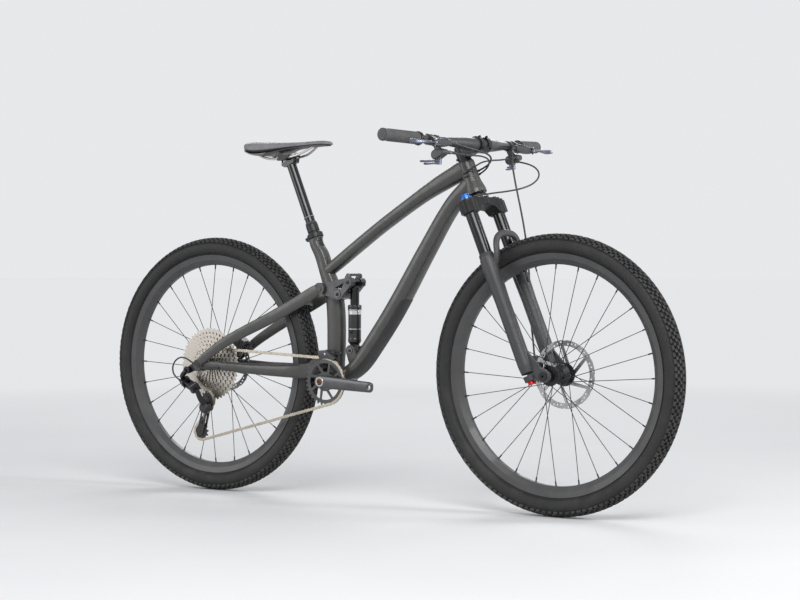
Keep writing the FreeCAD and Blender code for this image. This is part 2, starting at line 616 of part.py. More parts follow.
def build_stanchions():
    tubes = []
    low, high = mm("stanchion_foot"), mm("crown_low + crown_height - 1")
    for side in (DRIVE, LEFT):
        centre = Vector(mm("stanchion_advance"), side * mm("stanchion_spacing / 2"), low)
        tube = Part.makeCylinder(mm("stanchion_radius"), high - low, centre)
        tube = tube.cut(Part.makeCylinder(mm("stanchion_radius - 2"), high - low - 4, centre))
        cap_seat = centre + Vector(0, 0, high - low)
        tube = tube.fuse(Part.makeCylinder(mm("stanchion_radius - 0.5"), 4, cap_seat))
        if side == LEFT:
            tube = tube.fuse(Part.makeCone(11, 9, 5, cap_seat + Vector(0, 0, 4)))
        tubes.append(one_solid(tube))
    add_node("fork_stanchions", Part.makeCompound(tubes), STEER)
    dial = turned("lockout_dial", [(0, 0), (13, 0), (13, 2.2), (10.6, 3), (10.6, 5.2), (13, 6), (13, 8),
                                   (8, 9.5), (0, 9.5)], dial_place(), "XZ_Plane")
    notch = dial.sketch("XY_Plane", [[(11.5, -1.6), (16, -1.6), (16, 1.6), (11.5, 1.6)]])
    first = dial.cut(notch, 12, reverse=True)
    dial.ring_of(first, notch, 6)


def dial_place():
    """Seat of the remote dial on the right fork cap."""
    top = mm("crown_low + crown_height + 3 + seat_gap")
    return STEER.multiply(Placement(Vector(mm("stanchion_advance"), -mm("stanchion_spacing / 2"), top), Rotation()))


FRONT_CALIPER_ANGLE, REAR_CALIPER_ANGLE = -62, 35


def build_lowers():
    half = mm("stanchion_spacing / 2")
    advance = mm("stanchion_advance")
    radius, foot = mm("lowers_radius"), mm("lowers_foot_radius")
    top = mm("lowers_top")
    hub = mm("front_hub_width / 2")
    thickness = mm("dropout_thickness")
    reach = mm("fork_offset")
    leg = Part.makeCylinder(radius, 58, Vector(advance, half, top - 58))
    leg = leg.fuse(Part.makeCone(radius, foot + 1.5, 60, Vector(advance, half, top - 58), Vector(0, 0, -1)))
    leg = leg.fuse(Part.makeCylinder(foot + 1.5, top - 118 - 44, Vector(advance, half, 44)))
    leg = leg.fuse(Part.makeCone(foot + 1.5, foot - 3, 42, Vector(advance, half, 44), Vector(0, 0, -1)))
    hanger = link_plate((reach, 0), (advance + 2, 40), 16, foot - 3, hub, hub + thickness)
    rib = link_plate((reach - 2, 0), (advance + 6, 92), 11, 7, half - 6, half + 3)
    leg = leg.fuse([hanger, rib])
    legs = [leg, mirrored(leg)]
    arch_half = half - 3
    peak = mm("arch_rise")
    front = mm("arch_reach")
    rising = [(advance + 7, 1, top - 34, 18, 20), (advance + 20, 0, top - 12, 15, 20),
              (front - 11, -2, top + 10, 13, 19), (front - 8.5, -9, peak - 25, 13, 19),
              (front - 3.5, -0.38 * arch_half, peak - 6, 13, 18)]
    path = [Vector(x, -arch_half - out, z) for x, out, z, _, _ in rising] + [Vector(front, 0, peak)]
    path += [Vector(x, arch_half + out, z) for x, out, z, _, _ in reversed(rising)]
    sizes = [row[3:] for row in rising] + [(13, 18)] + [row[3:] for row in reversed(rising)]
    arch = tube_through(path, sizes, up=Vector(1, 0, 0))
    pads = mm("front_rotor_radius") - 2
    mounts = []
    for side, height in ((LEFT, 66), (DRIVE, 22)):
        x, z = caliper_post(pads, FRONT_CALIPER_ANGLE, side)
        mounts.append(drum(reach + x, z, 6, mm("rotor_plane") + 3.2, half - 8))
        mounts.append(link_plate((advance - 7, height), (reach + x, z), 9, 6, mm("rotor_plane") + 13, half - 8))
    shape = legs[0].fuse([legs[1], arch] + mounts)
    bores = [Part.makeCylinder(mm("stanchion_radius") + 0.3, top + 20, Vector(advance, side * half, 16))
             for side in (DRIVE, LEFT)]
    axle = drum(reach, 0, mm("axle_radius + running_gap"), -100, 100)
    foot_hole = Part.makeCylinder(4.05, 60, Vector(advance, -half, -20))
    seals = [Part.makeCone(radius - 0.6, radius - 2.2, mm("seal_height"), Vector(advance, side * half, top - 1))
             for side in (DRIVE, LEFT)]
    shape = one_solid(less(shape.fuse(seals), bores + [axle, foot_hole]))
    add_node("fork_lowers", shape, STEER)
    knob = turned("rebound_knob", [(0, 16), (3.6, 16), (3.6, 1.6), (9, 1.6), (9, -5), (7.5, -7), (0, -7)],
                  STEER.multiply(Placement(Vector(advance, -half, 0), Rotation())), "XZ_Plane")
    flute = knob.sketch("XY_Plane", [[(8.2, -1.2), (12, -1.2), (12, 1.2), (8.2, 1.2)]], offset="-9")
    first = knob.cut(flute, 10.6, reverse=True)
    knob.ring_of(first, flute, 8)
    axle_sub = Sub("front_axle", STEER.multiply(Placement(Vector(reach, 0, 0), Rotation())))
    axle_sub.pad(axle_sub.sketch("XZ_Plane", circles=[(0, 0, "axle_radius")]),
                 "front_hub_width + 2 * dropout_thickness", "Symmetric")
    axle_sub.pad(axle_sub.sketch("XZ_Plane", circles=[(0, 0, "axle_radius + 4")],
                                 offset="front_hub_width / 2 + dropout_thickness"), 3)
    recess = axle_sub.sketch("XZ_Plane", circles=[(0, 0, 3)], offset="front_hub_width / 2 + dropout_thickness + 4")
    axle_sub.cut(recess, 14)


EAR_REACH, EAR_SEAT = 31, 8


def caliper(cylinder_radius):
    """Two-piston caliper over a disc in XZ: pad slot open to the axle, ears on the outboard side."""
    body = block(Vector(0, -2.5, 0), (46, 29, 30))
    body = body.makeFillet(4, [e for e in body.Edges if e.BoundBox.YLength > 25])
    body = body.fuse([drum(0, 0, cylinder_radius, -18, 0), drum(0, 0, cylinder_radius - 2, 0, 12.4)])
    ears = [block(Vector(side * (EAR_REACH - 3), 7.5, EAR_SEAT + 4), (18, 9, 8)) for side in (DRIVE, LEFT)]
    slot = block(Vector(0, 0, -8), (60, 6, 30))
    pads = [block(Vector(0, side * 2.2, -6), (26, 1.7, 18)) for side in (DRIVE, LEFT)]
    return one_solid(body.fuse(ears).cut(slot).fuse(pads).removeSplitter())


def caliper_post(radius, angle, side):
    """Centre of a caliper's mounting post, from the axle, in XZ."""
    turn = math.radians(angle)
    out, along = radius + EAR_SEAT - 6.2, side * EAR_REACH
    return along * math.cos(turn) + out * math.sin(turn), out * math.cos(turn) - along * math.sin(turn)


def place_caliper(label, axle, turn_frame, angle, plane, radius):
    """Set a caliper over its rotor at an angle back from straight up."""
    place = Placement(axle, turn_frame).multiply(Placement(Vector(0, 0, 0), Rotation(Y_AXIS, angle)))
    add_node(label, caliper(10), place.multiply(Placement(Vector(0, plane, radius), Rotation())))


def build_cockpit():
    cover_top = f"{head_high} + headset_cover_height"
    stem = Sub("stem", STEER)
    cover = [(0, f"{head_high} + 0.25"), ("head_tube_radius", f"{head_high} + 0.25"),
             ("head_tube_radius - 1", f"{head_high} + 3"), ("steerer_radius + 5", cover_top),
             ("steerer_radius + 4", f"{cover_top} + 2"), (0, f"{cover_top} + 2")]
    stem.turn(stem.sketch("XZ_Plane", [cover]))
    stem.pad(stem.sketch("XY_Plane", circles=[(0, 0, "steerer_radius + 4")], offset=cover_top), "stem_height")
    waist = [(0, f"{cover_top} + 6"), ("stem_reach - 12", f"{cover_top} + stem_height / 2 - 13"),
             ("stem_reach - 4", f"{cover_top} + stem_height / 2 - 17"),
             ("stem_reach - 4", f"{cover_top} + stem_height / 2 + 17"),
             ("stem_reach - 12", f"{cover_top} + stem_height / 2 + 14"), (0, f"{cover_top} + stem_height - 6")]
    stem.pad(stem.sketch("XZ_Plane", [waist]), 30, "Symmetric")
    clamp = stem.sketch("XZ_Plane", circles=[("stem_reach", f"{cover_top} + stem_height / 2", "bar_radius + 5")])
    stem.pad(clamp, 48, "Symmetric")
    bore = stem.sketch("XZ_Plane", circles=[("stem_reach", f"{cover_top} + stem_height / 2", "bar_radius + running_gap")])
    stem.cut(bore, 80, "Symmetric")
    window = stem.sketch("XZ_Plane", [[("stem_reach + 2", f"{cover_top} + stem_height / 2 - 13"),
                                       ("stem_reach + 30", f"{cover_top} + stem_height / 2 - 13"),
                                       ("stem_reach + 30", f"{cover_top} + stem_height / 2 + 13"),
                                       ("stem_reach + 2", f"{cover_top} + stem_height / 2 + 13")]])
    stem.cut(window, 20, "Symmetric")
    hole = stem.sketch("XY_Plane", circles=[(0, 0, "steerer_radius + running_gap")], offset=f"{head_high} - 1")
    stem.cut(hole, "headset_cover_height + stem_height - 2", reverse=True)
    split = stem.sketch("XZ_Plane", [[("-steerer_radius - 8", f"{cover_top} - 1"), ("-6", f"{cover_top} - 1"),
                                      ("-6", f"{cover_top} + stem_height - 4"),
                                      ("-steerer_radius - 8", f"{cover_top} + stem_height - 4")]])
    stem.cut(split, 1.6, "Symmetric")


def bar_point(side_distance, side):
    """Point on the handlebar's centre line at a distance out from the middle."""
    centre = steer(mm(head_high) + mm("headset_cover_height + stem_height / 2"), mm("stem_reach"), 0)
    out = max(0.0, side_distance - 34)
    back = out * math.tan(math.radians(mm("bar_sweep")))
    rise = out * math.tan(math.radians(mm("bar_rise")))
    return centre + Vector(-back, side * side_distance, rise)


def bar_frame(side_distance, side):
    """Frame on the bar: Y outwards along it, X forward, Z up."""
    outward = (bar_point(side_distance + 10, side) - bar_point(side_distance, side)).normalize()
    if side == DRIVE:
        outward = outward * -1
    return Placement(bar_point(side_distance, side), Rotation(Vector(), outward, Vector(0, 0, 1), "YZX"))


def build_handlebar():
    bar = drum(0, 0, mm("bar_radius"), -30, 30)
    bar.translate(bar_point(0, LEFT))
    sections = ((30, mm("bar_radius")), (56, mm("bar_radius") - 0.6), (84, mm("bar_radius") - 2.2),
                (112, mm("bar_radius") - 4.4), (138, mm("bar_end_radius") + 0.5), (160, mm("bar_end_radius")))
    for side in (DRIVE, LEFT):
        slope = (bar_point(200, side) - bar_point(100, side)).normalize()
        wires = []
        for distance, radius in sections:
            share = min(1.0, (distance - 30) / 26)
            heading = Vector(0, side, 0) * (1 - share) + slope * share
            wires.append(Part.Wire(Part.makeCircle(radius, bar_point(distance, side), heading)))
        bar = bar.fuse(Part.makeLoft(wires, True, False))
        straight = mm("bar_half_width") - 162
        bar = bar.fuse(Part.makeCylinder(mm("bar_end_radius"), straight, bar_point(160, side), slope))
    bar = one_solid(bar)
    add_node("handlebar", bar)
    grips = []
    end, length = mm("bar_half_width"), mm("grip_length")
    for side in (DRIVE, LEFT):
        axis = (bar_point(300, side) - bar_point(200, side)).normalize()
        start = bar_point(end - length, side)
        radius = mm("grip_radius")
        grip = Part.makeCylinder(radius, length - 1, start, axis)
        grip = grip.fuse(Part.makeCylinder(radius + 2, 4, start, axis))
        grip = grip.fuse(Part.makeCylinder(radius + 1, 6, bar_point(end - 7, side), axis))
        grip = grip.cut(Part.makeCylinder(mm("bar_end_radius") + 0.05, length + 60,
                                          bar_point(end - length - 30, side), axis))
        grips.append(one_solid(grip.fuse(Part.makeCylinder(mm("grip_radius") - 1, 3, bar_point(end - 1.2, side), axis))))
    add_node("grips", Part.makeCompound(grips))


def band(radius, width, thickness=3.5):
    """Clamp band about a bar that runs along Y."""
    ring = drum(0, 0, radius + thickness, -width / 2, width / 2)
    return ring.cut(drum(0, 0, radius, -width, width))


LEVER_SITE = 205


def build_brake_controls():
    masters = []
    for side in (DRIVE, LEFT):
        frame = bar_frame(LEVER_SITE, side)
        clamp = band(mm("bar_end_radius") + 0.05, 13)
        neck = link_plate((15, -2), (30, -10), 9, 9, -7, 7)
        neck = neck.cut(drum(0, 0, mm("bar_end_radius") + 0.05, -30, 30))
        barrel_in, barrel_out = Vector(30, side * -52, -6), Vector(40, side * 22, -12)
        barrel = Part.makeLoft([
            rounded_section(barrel_in, Vector(0, 0, 1), Vector(1, 0, 0), 14, 13),
            rounded_section(barrel_in * 0.6 + barrel_out * 0.4, Vector(0, 0, 1), Vector(1, 0, 0), 22, 20),
            rounded_section(barrel_out, Vector(0, 0, 1), Vector(1, 0, 0), 19, 20)], True, False)
        fork = [block(Vector(44, side * 25, z), (22, 20, 4)) for z in (-17.2, -6.8)]
        nose = Part.makeCylinder(4.2, 14, barrel_in - Vector(0, side * -2, 0), Vector(-0.1, side * -1, 0))
        body = clamp.fuse([neck, barrel, nose] + fork)
        pin = Part.makeCylinder(3, 60, lever_pivot(side) - Vector(0, 0, 30))
        sweep = Part.makeCylinder(10.5, 6.6, lever_pivot(side) - Vector(0, 0, 3.3))
        body = one_solid(less(body, [sweep, pin]))
        body.Placement = frame
        masters.append(body)
        build_brake_lever("brake_lever_right" if side == DRIVE else "brake_lever_left", side, frame)
    return masters


def lever_pivot(side):
    """Brake lever pivot in the bar frame."""
    return Vector(49, side * 28, -12)


def build_brake_lever(label, side, frame):
    """A curved two-finger blade on an upright pivot pin."""
    pivot = lever_pivot(side)
    points = [pivot + Vector(0, 0, 0), pivot + Vector(5, side * 22, -1), pivot + Vector(9, side * 48, -2),
              pivot + Vector(7, side * 74, -3), pivot + Vector(8, side * 96, -3), pivot + Vector(15, side * 108, -3)]
    sizes = [(6, 12), (6, 9), (9, 6), (12, 5), (12, 5), (8, 4)]
    blade = tube_through(points, sizes)
    hub = Part.makeCylinder(8, 6, pivot - Vector(0, 0, 3))
    pin = Part.makeCylinder(2.95, 21, pivot - Vector(0, 0, 10.5))
    lever = one_solid(blade.fuse([hub, pin]))
    lever.Placement = frame
    add_node(label, lever)


def build_shift_controls():
    """Right shifter under the bar and the left remote with its two levers."""
    bodies = []
    for side, site in ((DRIVE, 180), (LEFT, 175)):
        frame = bar_frame(site, side)
        clamp = band(mm("bar_end_radius") + 0.05, 9, 3)
        post = link_plate((4, -14), (12, -26), 6, 8, -5, 5).cut(drum(0, 0, mm("bar_end_radius") + 0.05, -30, 30))
        pod = link_plate((8, -38), (30, -32), 13, 8, -12, 12)
        pod = pod.makeFillet(3, [e for e in pod.Edges if e.BoundBox.YLength < 0.01])
        pieces = [post, pod, Part.makeCylinder(9, 12, Vector(12, 0, -51)),
                  Part.makeCylinder(3.6, 16, Vector(32, side * -10, -32), Vector(0.25, side * -1, 0))]
        if side == LEFT:
            pieces.append(Part.makeCylinder(3, 14, Vector(24, -10, -42), Vector(0.35, -1, -0.1)))
        body = one_solid(clamp.fuse(pieces))
        body.Placement = frame
        bodies.append(body)
        names = ("shift_thumb_lever", "shift_release_lever") if side == DRIVE else \
            ("dropper_remote_lever", "lockout_remote_lever")
        paddles = ((names[0], -54.2, 30, 10), (names[1], -60.3, 23, 1))
        for name, height, reach, lean in paddles:
            hub = Part.makeCylinder(9, 5.6, Vector(12, 0, height - 2.8))
            arm = tube_through([Vector(12, 0, height), Vector(4, side * reach * 0.6, height - 1),
                                Vector(-8, side * reach, height - 2), Vector(-14, side * (reach + lean), height - 2)],
                               [(5, 12), (5, 9), (6, 12), (5, 12)])
            stub = Part.makeCylinder(3, 0.4, Vector(12, 0, height + 2.7))
            paddle = one_solid(hub.fuse([arm, stub]))
            paddle.Placement = frame
            add_node(name, paddle)
    return bodies


# ---------------------------------------------------------------- wheels

def tyre_shape():
    """Casing with a block tread: two shoulder rings and one centre ring of knobs."""
    seat, flange = mm("rim_seat_radius") + 0.2, mm("rim_flange_radius")
    half, crest = mm("tyre_half_width"), mm("casing_radius")

    def spot(radius, side):
        return Vector(radius, side, 0)

    edges = []

    def line(a, b):
        edges.append(Part.LineSegment(a, b).toShape())

    def arc(a, b, c):
        edges.append(Part.Arc(a, b, c).toShape())

    outer = [spot(seat, 14.3), spot(flange + 1, 14.7), spot(333, half), spot(348, half - 1), spot(crest, 0)]
    mirror = [spot(p.x, -p.y) for p in outer]
    inner = [spot(seat, 10.6), spot(flange - 0.5, 11), spot(333, half - 2.6), spot(347, half - 3.4), spot(crest - 3, 0)]
    inside = [spot(p.x, -p.y) for p in inner]
    line(outer[0], outer[1])
    arc(outer[1], outer[2], outer[3])
    arc(outer[3], outer[4], mirror[3])
    arc(mirror[3], mirror[2], mirror[1])
    line(mirror[1], mirror[0])
    line(mirror[0], inside[0])
    line(inside[0], inside[1])
    arc(inside[1], inside[2], inside[3])
    arc(inside[3], inner[4], inner[3])
    arc(inner[3], inner[2], inner[1])
    line(inner[1], inner[0])
    line(inner[0], outer[0])
    casing = Part.Face(Part.Wire(Part.__sortEdges__(edges))).revolve(Vector(0, 0, 0), Y_AXIS, 360)
    top = mm("tyre_radius")
    rings = [tread_ring(-8.5, 8.5, crest + 0.4, crest + 0.4, top, top, 0.0)]
    for side in (DRIVE, LEFT):
        rings.append(tread_ring(side * 13.5, side * 26.5, crest - 1.7, crest - 11.5, top - 2.4, top - 8.5, 0.5))
    return casing.fuse(rings)


def tread_ring(near, far, near_root, far_root, near_tip, far_tip, shift):
    """A ring of knobs: a toothed outline drawn at two places on Y and ruled between them."""
    count = int(mm("tread_pitches"))
    wires = []
    for place, root, tip in ((near, near_root, near_tip), (far, far_root, far_tip)):
        points = []
        for i in range(count):
            for share, radius in ((0.0, root), (0.05, tip), (0.6, tip), (0.65, root)):
                angle = 2 * math.pi * (i + shift + share) / count
                points.append(Vector(radius * math.cos(angle), place, radius * math.sin(angle)))
        wires.append(Part.makePolygon(points + [points[0]]))
    solid = Part.makeLoft(wires, True, True)
    core = Part.makeCylinder(min(near_root, far_root) - 7, abs(far - near) + 2,
                             Vector(0, min(near, far) - 1, 0), Y_AXIS)
    return solid.cut(core)


def hub_profile(side_half, right_flange, left_flange, right_shell):
    """Half section of a hub, from the drive-side end to the disc side."""
    flange = "flange_radius"
    profile = [("axle_radius + running_gap", f"-{side_half} + 0.1"), ("axle_radius + 4", f"-{side_half} + 0.1"),
               ("axle_radius + 4", right_shell), (17, right_shell), (17, f"{right_flange} - 3"),
               (flange, f"{right_flange} - 1.6"), (flange, f"{right_flange} + 1.6"), (15, f"{right_flange} + 8"),
               (13, 0), (15, f"{left_flange} - 8"), (flange, f"{left_flange} - 1.6"),
               (flange, f"{left_flange} + 1.6"), (18, f"{left_flange} + 3"), (18, "ROTOR - 1.1"), (16, "ROTOR - 1.1"),
               (16, "ROTOR + 3"), ("axle_radius + 5", "ROTOR + 4"), ("axle_radius + 4", f"{side_half} - 0.1"),
               ("axle_radius + running_gap", f"{side_half} - 0.1")]
    return profile


def spoke_set(right_flange, left_flange):
    """Crossed spokes from both flanges to the rim bed, each with its nipple."""
    count = int(mm("spoke_count"))
    half = count // 2
    flange, bed, radius = mm("flange_radius") + 0.15, mm("rim_bed_radius") - 0.2, mm("spoke_radius")
    spokes = []
    for i in range(count):
        side = DRIVE if i % 2 else LEFT
        lead = 1 if (i // 2) % 2 else -1
        rim_angle = 2 * math.pi * i / count
        hub_angle = rim_angle + lead * 2 * math.pi * 1.62 / half
        plane = right_flange if side == DRIVE else left_flange
        start = Vector(flange * math.cos(hub_angle), plane + lead * 1.5, flange * math.sin(hub_angle))
        end = Vector(bed * math.cos(rim_angle), side * 2.5 + lead * 1.2, bed * math.sin(rim_angle))
        run = (end - start).normalize()
        nipple = rod(end - run * 12, end, radius * 2)
        spokes.append(rod(start, end - run * 12, radius).fuse(nipple))
    return Part.makeCompound([one_solid(s) for s in spokes])


def rotor_shape(radius):
    """Slotted braking ring on six raked arms, with a dark carrier at the hub."""
    thickness = mm("rotor_thickness")

    def plate(outer, inner):
        ring = drum(0, 0, outer, -thickness / 2, thickness / 2)
        return ring.cut(drum(0, 0, inner, -thickness, thickness))

    ring = plate(radius, radius - 15)
    waves, slots, arms = [], [], []
    for i in range(12):
        angle = 2 * math.pi * i / 12
        waves.append(drum((radius + 11.6) * math.cos(angle), (radius + 11.6) * math.sin(angle), 13, -3, 3))
        for shift, distance in ((0.25, radius - 5), (0.5, radius - 7.5), (0.75, radius - 10)):
            place = angle + shift * 2 * math.pi / 12
            slots.append(drum(distance * math.cos(place), distance * math.sin(place), 2.4, -3, 3))
    for i in range(6):
        angle = 2 * math.pi * i / 6
        start = (24 * math.cos(angle), 24 * math.sin(angle))
        end = ((radius - 12) * math.cos(angle + 0.62), (radius - 12) * math.sin(angle + 0.62))
        arms.append(link_plate(start, end, 5, 4.2, -thickness / 2, thickness / 2))
    carrier = plate(31, 16.05)
    track = ring.fuse(arms).cut(waves + slots + [drum(0, 0, 31, -3, 3)])
    return Part.makeCompound([one_solid(track), carrier])


def build_wheel(prefix, axle, side_half, right_flange, left_flange, rotor_plane, right_shell, rotor_radius):
    place = Placement(axle, Rotation())
    rim = [("rim_bed_radius", -6), ("rim_bed_radius", 6), ("rim_bed_radius + 14", "rim_half_width - 2.5"),
           ("rim_flange_radius", "rim_half_width"), ("rim_flange_radius", "rim_half_width - 3"),
           ("rim_seat_radius", 14.8), ("rim_seat_radius", 10), ("rim_seat_radius - 6", 8),
           ("rim_seat_radius - 6", -8), ("rim_seat_radius", -10), ("rim_seat_radius", -14.8),
           ("rim_flange_radius", "3 - rim_half_width"), ("rim_flange_radius", "-rim_half_width"),
           ("rim_bed_radius + 14", "2.5 - rim_half_width")]
    turned(f"{prefix}_rim", rim, place)
    hub = [(r, str(y).replace("ROTOR", rotor_plane)) for r, y in
           hub_profile(side_half, right_flange, left_flange, right_shell)]
    turned(f"{prefix}_hub", hub, place)
    add_node(f"{prefix}_spokes", spoke_set(mm(right_flange), mm(left_flange)), place)
    disc_place = Placement(axle + Vector(0, mm(rotor_plane), 0), Rotation())
    add_node(f"{prefix}_rotor", rotor_shape(rotor_radius), disc_place)


def build_wheels():
    tyre = tyre_shape()
    add_node("front_tire", tyre, Placement(FRONT_AXLE, Rotation()))
    add_node("rear_tire", tyre.copy(), Placement(REAR_AXLE, Rotation(Y_AXIS, 3)))
    build_wheel("front", FRONT_AXLE, "front_hub_width / 2", "-34", "24", "rotor_plane", "-43",
                mm("front_rotor_radius"))
    build_wheel("rear", REAR_AXLE, "rear_hub_width / 2", "-18", "36", "rear_rotor_plane", "-24.5",
                mm("rear_rotor_radius"))


# ---------------------------------------------------------------- drivetrain

def pitch_radius(teeth):
    return mm("chain_pitch") / 2 / math.sin(math.pi / teeth)


def toothed_face(teeth, place, slim=True):
    """Face of a chain wheel: a point or two at each root and a blunt tip."""
    base = pitch_radius(teeth)
    root, tip = base - 3.9, base + 2.6
    marks = ((0.0, root), (0.4, tip), (0.6, tip)) if slim else ((-0.16, root), (0.16, root), (0.42, tip), (0.58, tip))
    points = []
    for i in range(teeth):
        for share, radius in marks:
            angle = 2 * math.pi * (i + share) / teeth
            points.append(Vector(radius * math.cos(angle), place, radius * math.sin(angle)))
    return polygon_face(points)


COGS = (10, 12, 14, 16, 18, 21, 24, 28, 33, 39, 45, 51)


def cog_plane(index):
    return mm("cog_outer_plane") + index * mm("cog_spacing")


def build_cassette():
    """Twelve toothed cogs on a stepped carrier."""
    thickness = mm("cog_thickness")
    hub = mm("freehub_radius") + 0.1
    steps, cogs = [], []
    for index, teeth in enumerate(COGS):
        root = pitch_radius(teeth) - 3.9
        seat = max(root - 4.5, 12.6)
        low = cog_plane(index) - thickness / 2
        high = low + (mm("cog_spacing") if index < len(COGS) - 1 else thickness)
        bore = max(root - 17, 11.8 if index < 2 else hub)
        ring = drum(0, 0, seat, low, high).cut(drum(0, 0, bore, low - 1, high + 1))
        steps.append(ring)
        face = toothed_face(teeth, low)
        cog = face.extrude(Vector(0, thickness, 0)).cut(drum(0, 0, seat - 0.4, low - 1, low + 3))
        cogs.append(cog)
    last_low = cog_plane(len(COGS) - 1) - thickness / 2
    spider = drum(0, 0, pitch_radius(COGS[-1]) - 20, last_low, last_low + thickness)
    windows = []
    for i in range(6):
        angle = 2 * math.pi * i / 6
        windows.append(drum(52 * math.cos(angle), 52 * math.sin(angle), 19, last_low - 1, last_low + 3))
    spider = less(spider, [drum(0, 0, hub, last_low - 1, last_low + 3)] + windows)
    freehub = drum(0, 0, hub + 0.4, cog_plane(2), -25).cut(drum(0, 0, mm("axle_radius + 4.1"), -99, 0))
    cassette = steps[0].fuse(steps[1:] + cogs + [spider, freehub])
    add_node("cassette", one_solid(cassette), Placement(REAR_AXLE, Rotation()))


def build_chainring():
    thickness = mm("ring_thickness")
    plane = mm("ring_plane")
    teeth = int(mm("ring_teeth"))
    face = toothed_face(teeth, plane - thickness / 2, slim=False)
    ring = face.extrude(Vector(0, thickness, 0)).cut(drum(0, 0, 51, plane - 5, plane + 5))
    arms = []
    for i in range(8):
        angle = 2 * math.pi * (i + 0.5) / 8
        start = (24 * math.cos(angle), 24 * math.sin(angle))
        end = (54 * math.cos(angle + 0.2), 54 * math.sin(angle + 0.2))
        arms.append(link_plate(start, end, 4, 3, plane - thickness / 2, plane + thickness / 2))
    centre = drum(0, 0, 27, plane - 2, plane + 2)
    bore = drum(0, 0, 15.1, plane - 9, plane + 9)
    ring = one_solid(ring.fuse(arms + [centre]).cut(bore))
    add_node("chainring", ring, Placement(BRACKET, Rotation(Y_AXIS, 5.6)))


def between(rows, place):
    """Sizes read from rows of (place, sizes...) in a straight line between neighbours."""
    after = next((i for i, row in enumerate(rows) if row[0] >= place - 1e-6), len(rows) - 1)
    before = max(after - 1, 0)
    span = rows[after][0] - rows[before][0]
    share = (place - rows[before][0]) / span if span else 0.0
    return [a + (b - a) * share for a, b in zip(rows[before][1:], rows[after][1:])]


def build_cranks():
    length, width = mm("crank_length"), mm("crank_width")
    thickness = mm("crank_thickness")
    face_out = mm("crank_plane")
    for label, side, tilt in (("crank_arm_right", DRIVE, mm("crank_tilt")),
                              ("crank_arm_left", LEFT, 180 + mm("crank_tilt"))):
        rows = ((-0.11, 20, 13, 9), (-0.045, width - 2, 18, 9), (0.02, width, 20, 9), (0.15, width - 1, 18, 8),
                (0.4, width - 3, 15, 4), (0.8, width - 6, 13, 0), (0.995, width - 7, 13, 0), (1.06, 14, 9, 0))
        stations = []
        for i in range(19):
            share = -0.11 + 0.065 * i
            high, wide, out = between(rows, share)
            centre = Vector(share * length, side * (face_out - thickness / 2 - out), 0)
            stations.append(rounded_section(centre, Vector(0, 0, 1), Y_AXIS, high, wide, 3.4))
        arm = Part.makeLoft(stations, True, False)
        pedal = rod(Vector(length, side * 50, 0), Vector(length, side * 110, 0), mm("pedal_bore"))
        if side == DRIVE:
            shoulder = drum(0, 0, 16, -66, mm("ring_plane") - 2.1)
            ring_seat = drum(0, 0, 15, mm("ring_plane") - 6, mm("-bracket_width / 2") - 2)
            seat = drum(0, 0, mm("spindle_radius"), -70, face_out - thickness).fuse([shoulder, ring_seat])
            hollow = drum(0, 0, 9, -120, 120)
            spindle = one_solid(seat.cut(hollow))
            arm = arm.cut(hollow).cut(seat)
        else:
            arm = arm.fuse(drum(0, 0, 19, mm("bracket_width / 2") + 2, 66)).cut(
                drum(0, 0, mm("spindle_radius + running_gap"), 0, 120))
        arm = one_solid(arm.cut(pedal))
        if side == DRIVE:
            arm = Part.makeCompound([arm, spindle])
        add_node(label, arm, Placement(BRACKET, Rotation(Y_AXIS, -tilt)))


def tangent(first, first_radius, second, second_radius, sign_first, sign_second):
    """Touching points of a straight chain run; the sign tells which flank it leaves."""
    run = second - first
    reach = run.Length
    unit = run * (1 / reach)
    cross = Vector(-unit.z, 0, unit.x)
    lean = (sign_first * first_radius - sign_second * second_radius) / reach
    normal = unit * lean + cross * math.sqrt(1 - lean ** 2)
    return first + normal * (sign_first * first_radius), second + normal * (sign_second * second_radius)


def chain_path():
    """Points at even steps round ring, cog, guide pulley and tension pulley."""
    ring = (BRACKET, pitch_radius(mm("ring_teeth")), -1)
    cog = (REAR_AXLE, pitch_radius(mm("chain_cog")), -1)
    guide = (Vector(mm("guide_x"), 0, mm("guide_height")), pitch_radius(mm("pulley_teeth")), 1)
    tension = (Vector(mm("tension_x"), 0, mm("tension_height")), pitch_radius(mm("pulley_teeth")), -1)
    wheels = [ring, cog, guide, tension]
    spans = []
    for i, (centre, radius, sign) in enumerate(wheels):
        to_centre, to_radius, to_sign = wheels[(i + 1) % 4]
        spans.append(tangent(centre, radius, to_centre, to_radius, sign, to_sign))
    points = []
    for i, (centre, radius, sign) in enumerate(wheels):
        start = spans[i - 1][1] - centre
        end = spans[i][0] - centre
        first = math.atan2(start.z, start.x)
        sweep = math.atan2(end.z, end.x) - first
        while -sign * sweep < 0:
            sweep += -sign * 2 * math.pi
        while -sign * sweep > 2 * math.pi:
            sweep -= -sign * 2 * math.pi
        steps = max(3, int(abs(sweep) * radius / 2))
        for k in range(steps + 1):
            angle = first + sweep * k / steps
            points.append(centre + Vector(math.cos(angle), 0, math.sin(angle)) * radius)
    return points + [points[0]]


def chain_line(x):
    """Sideways place of the chain between the chainring and the chosen cog."""
    index = COGS.index(int(mm("chain_cog")))
    rear, front = cog_plane(index), mm("ring_plane")
    low, high = -mm("wheelbase / 2") + 60, BRACKET.x - 66
    share = min(1.0, max(0.0, (x - low) / (high - low)))
    return rear + (front - rear) * share


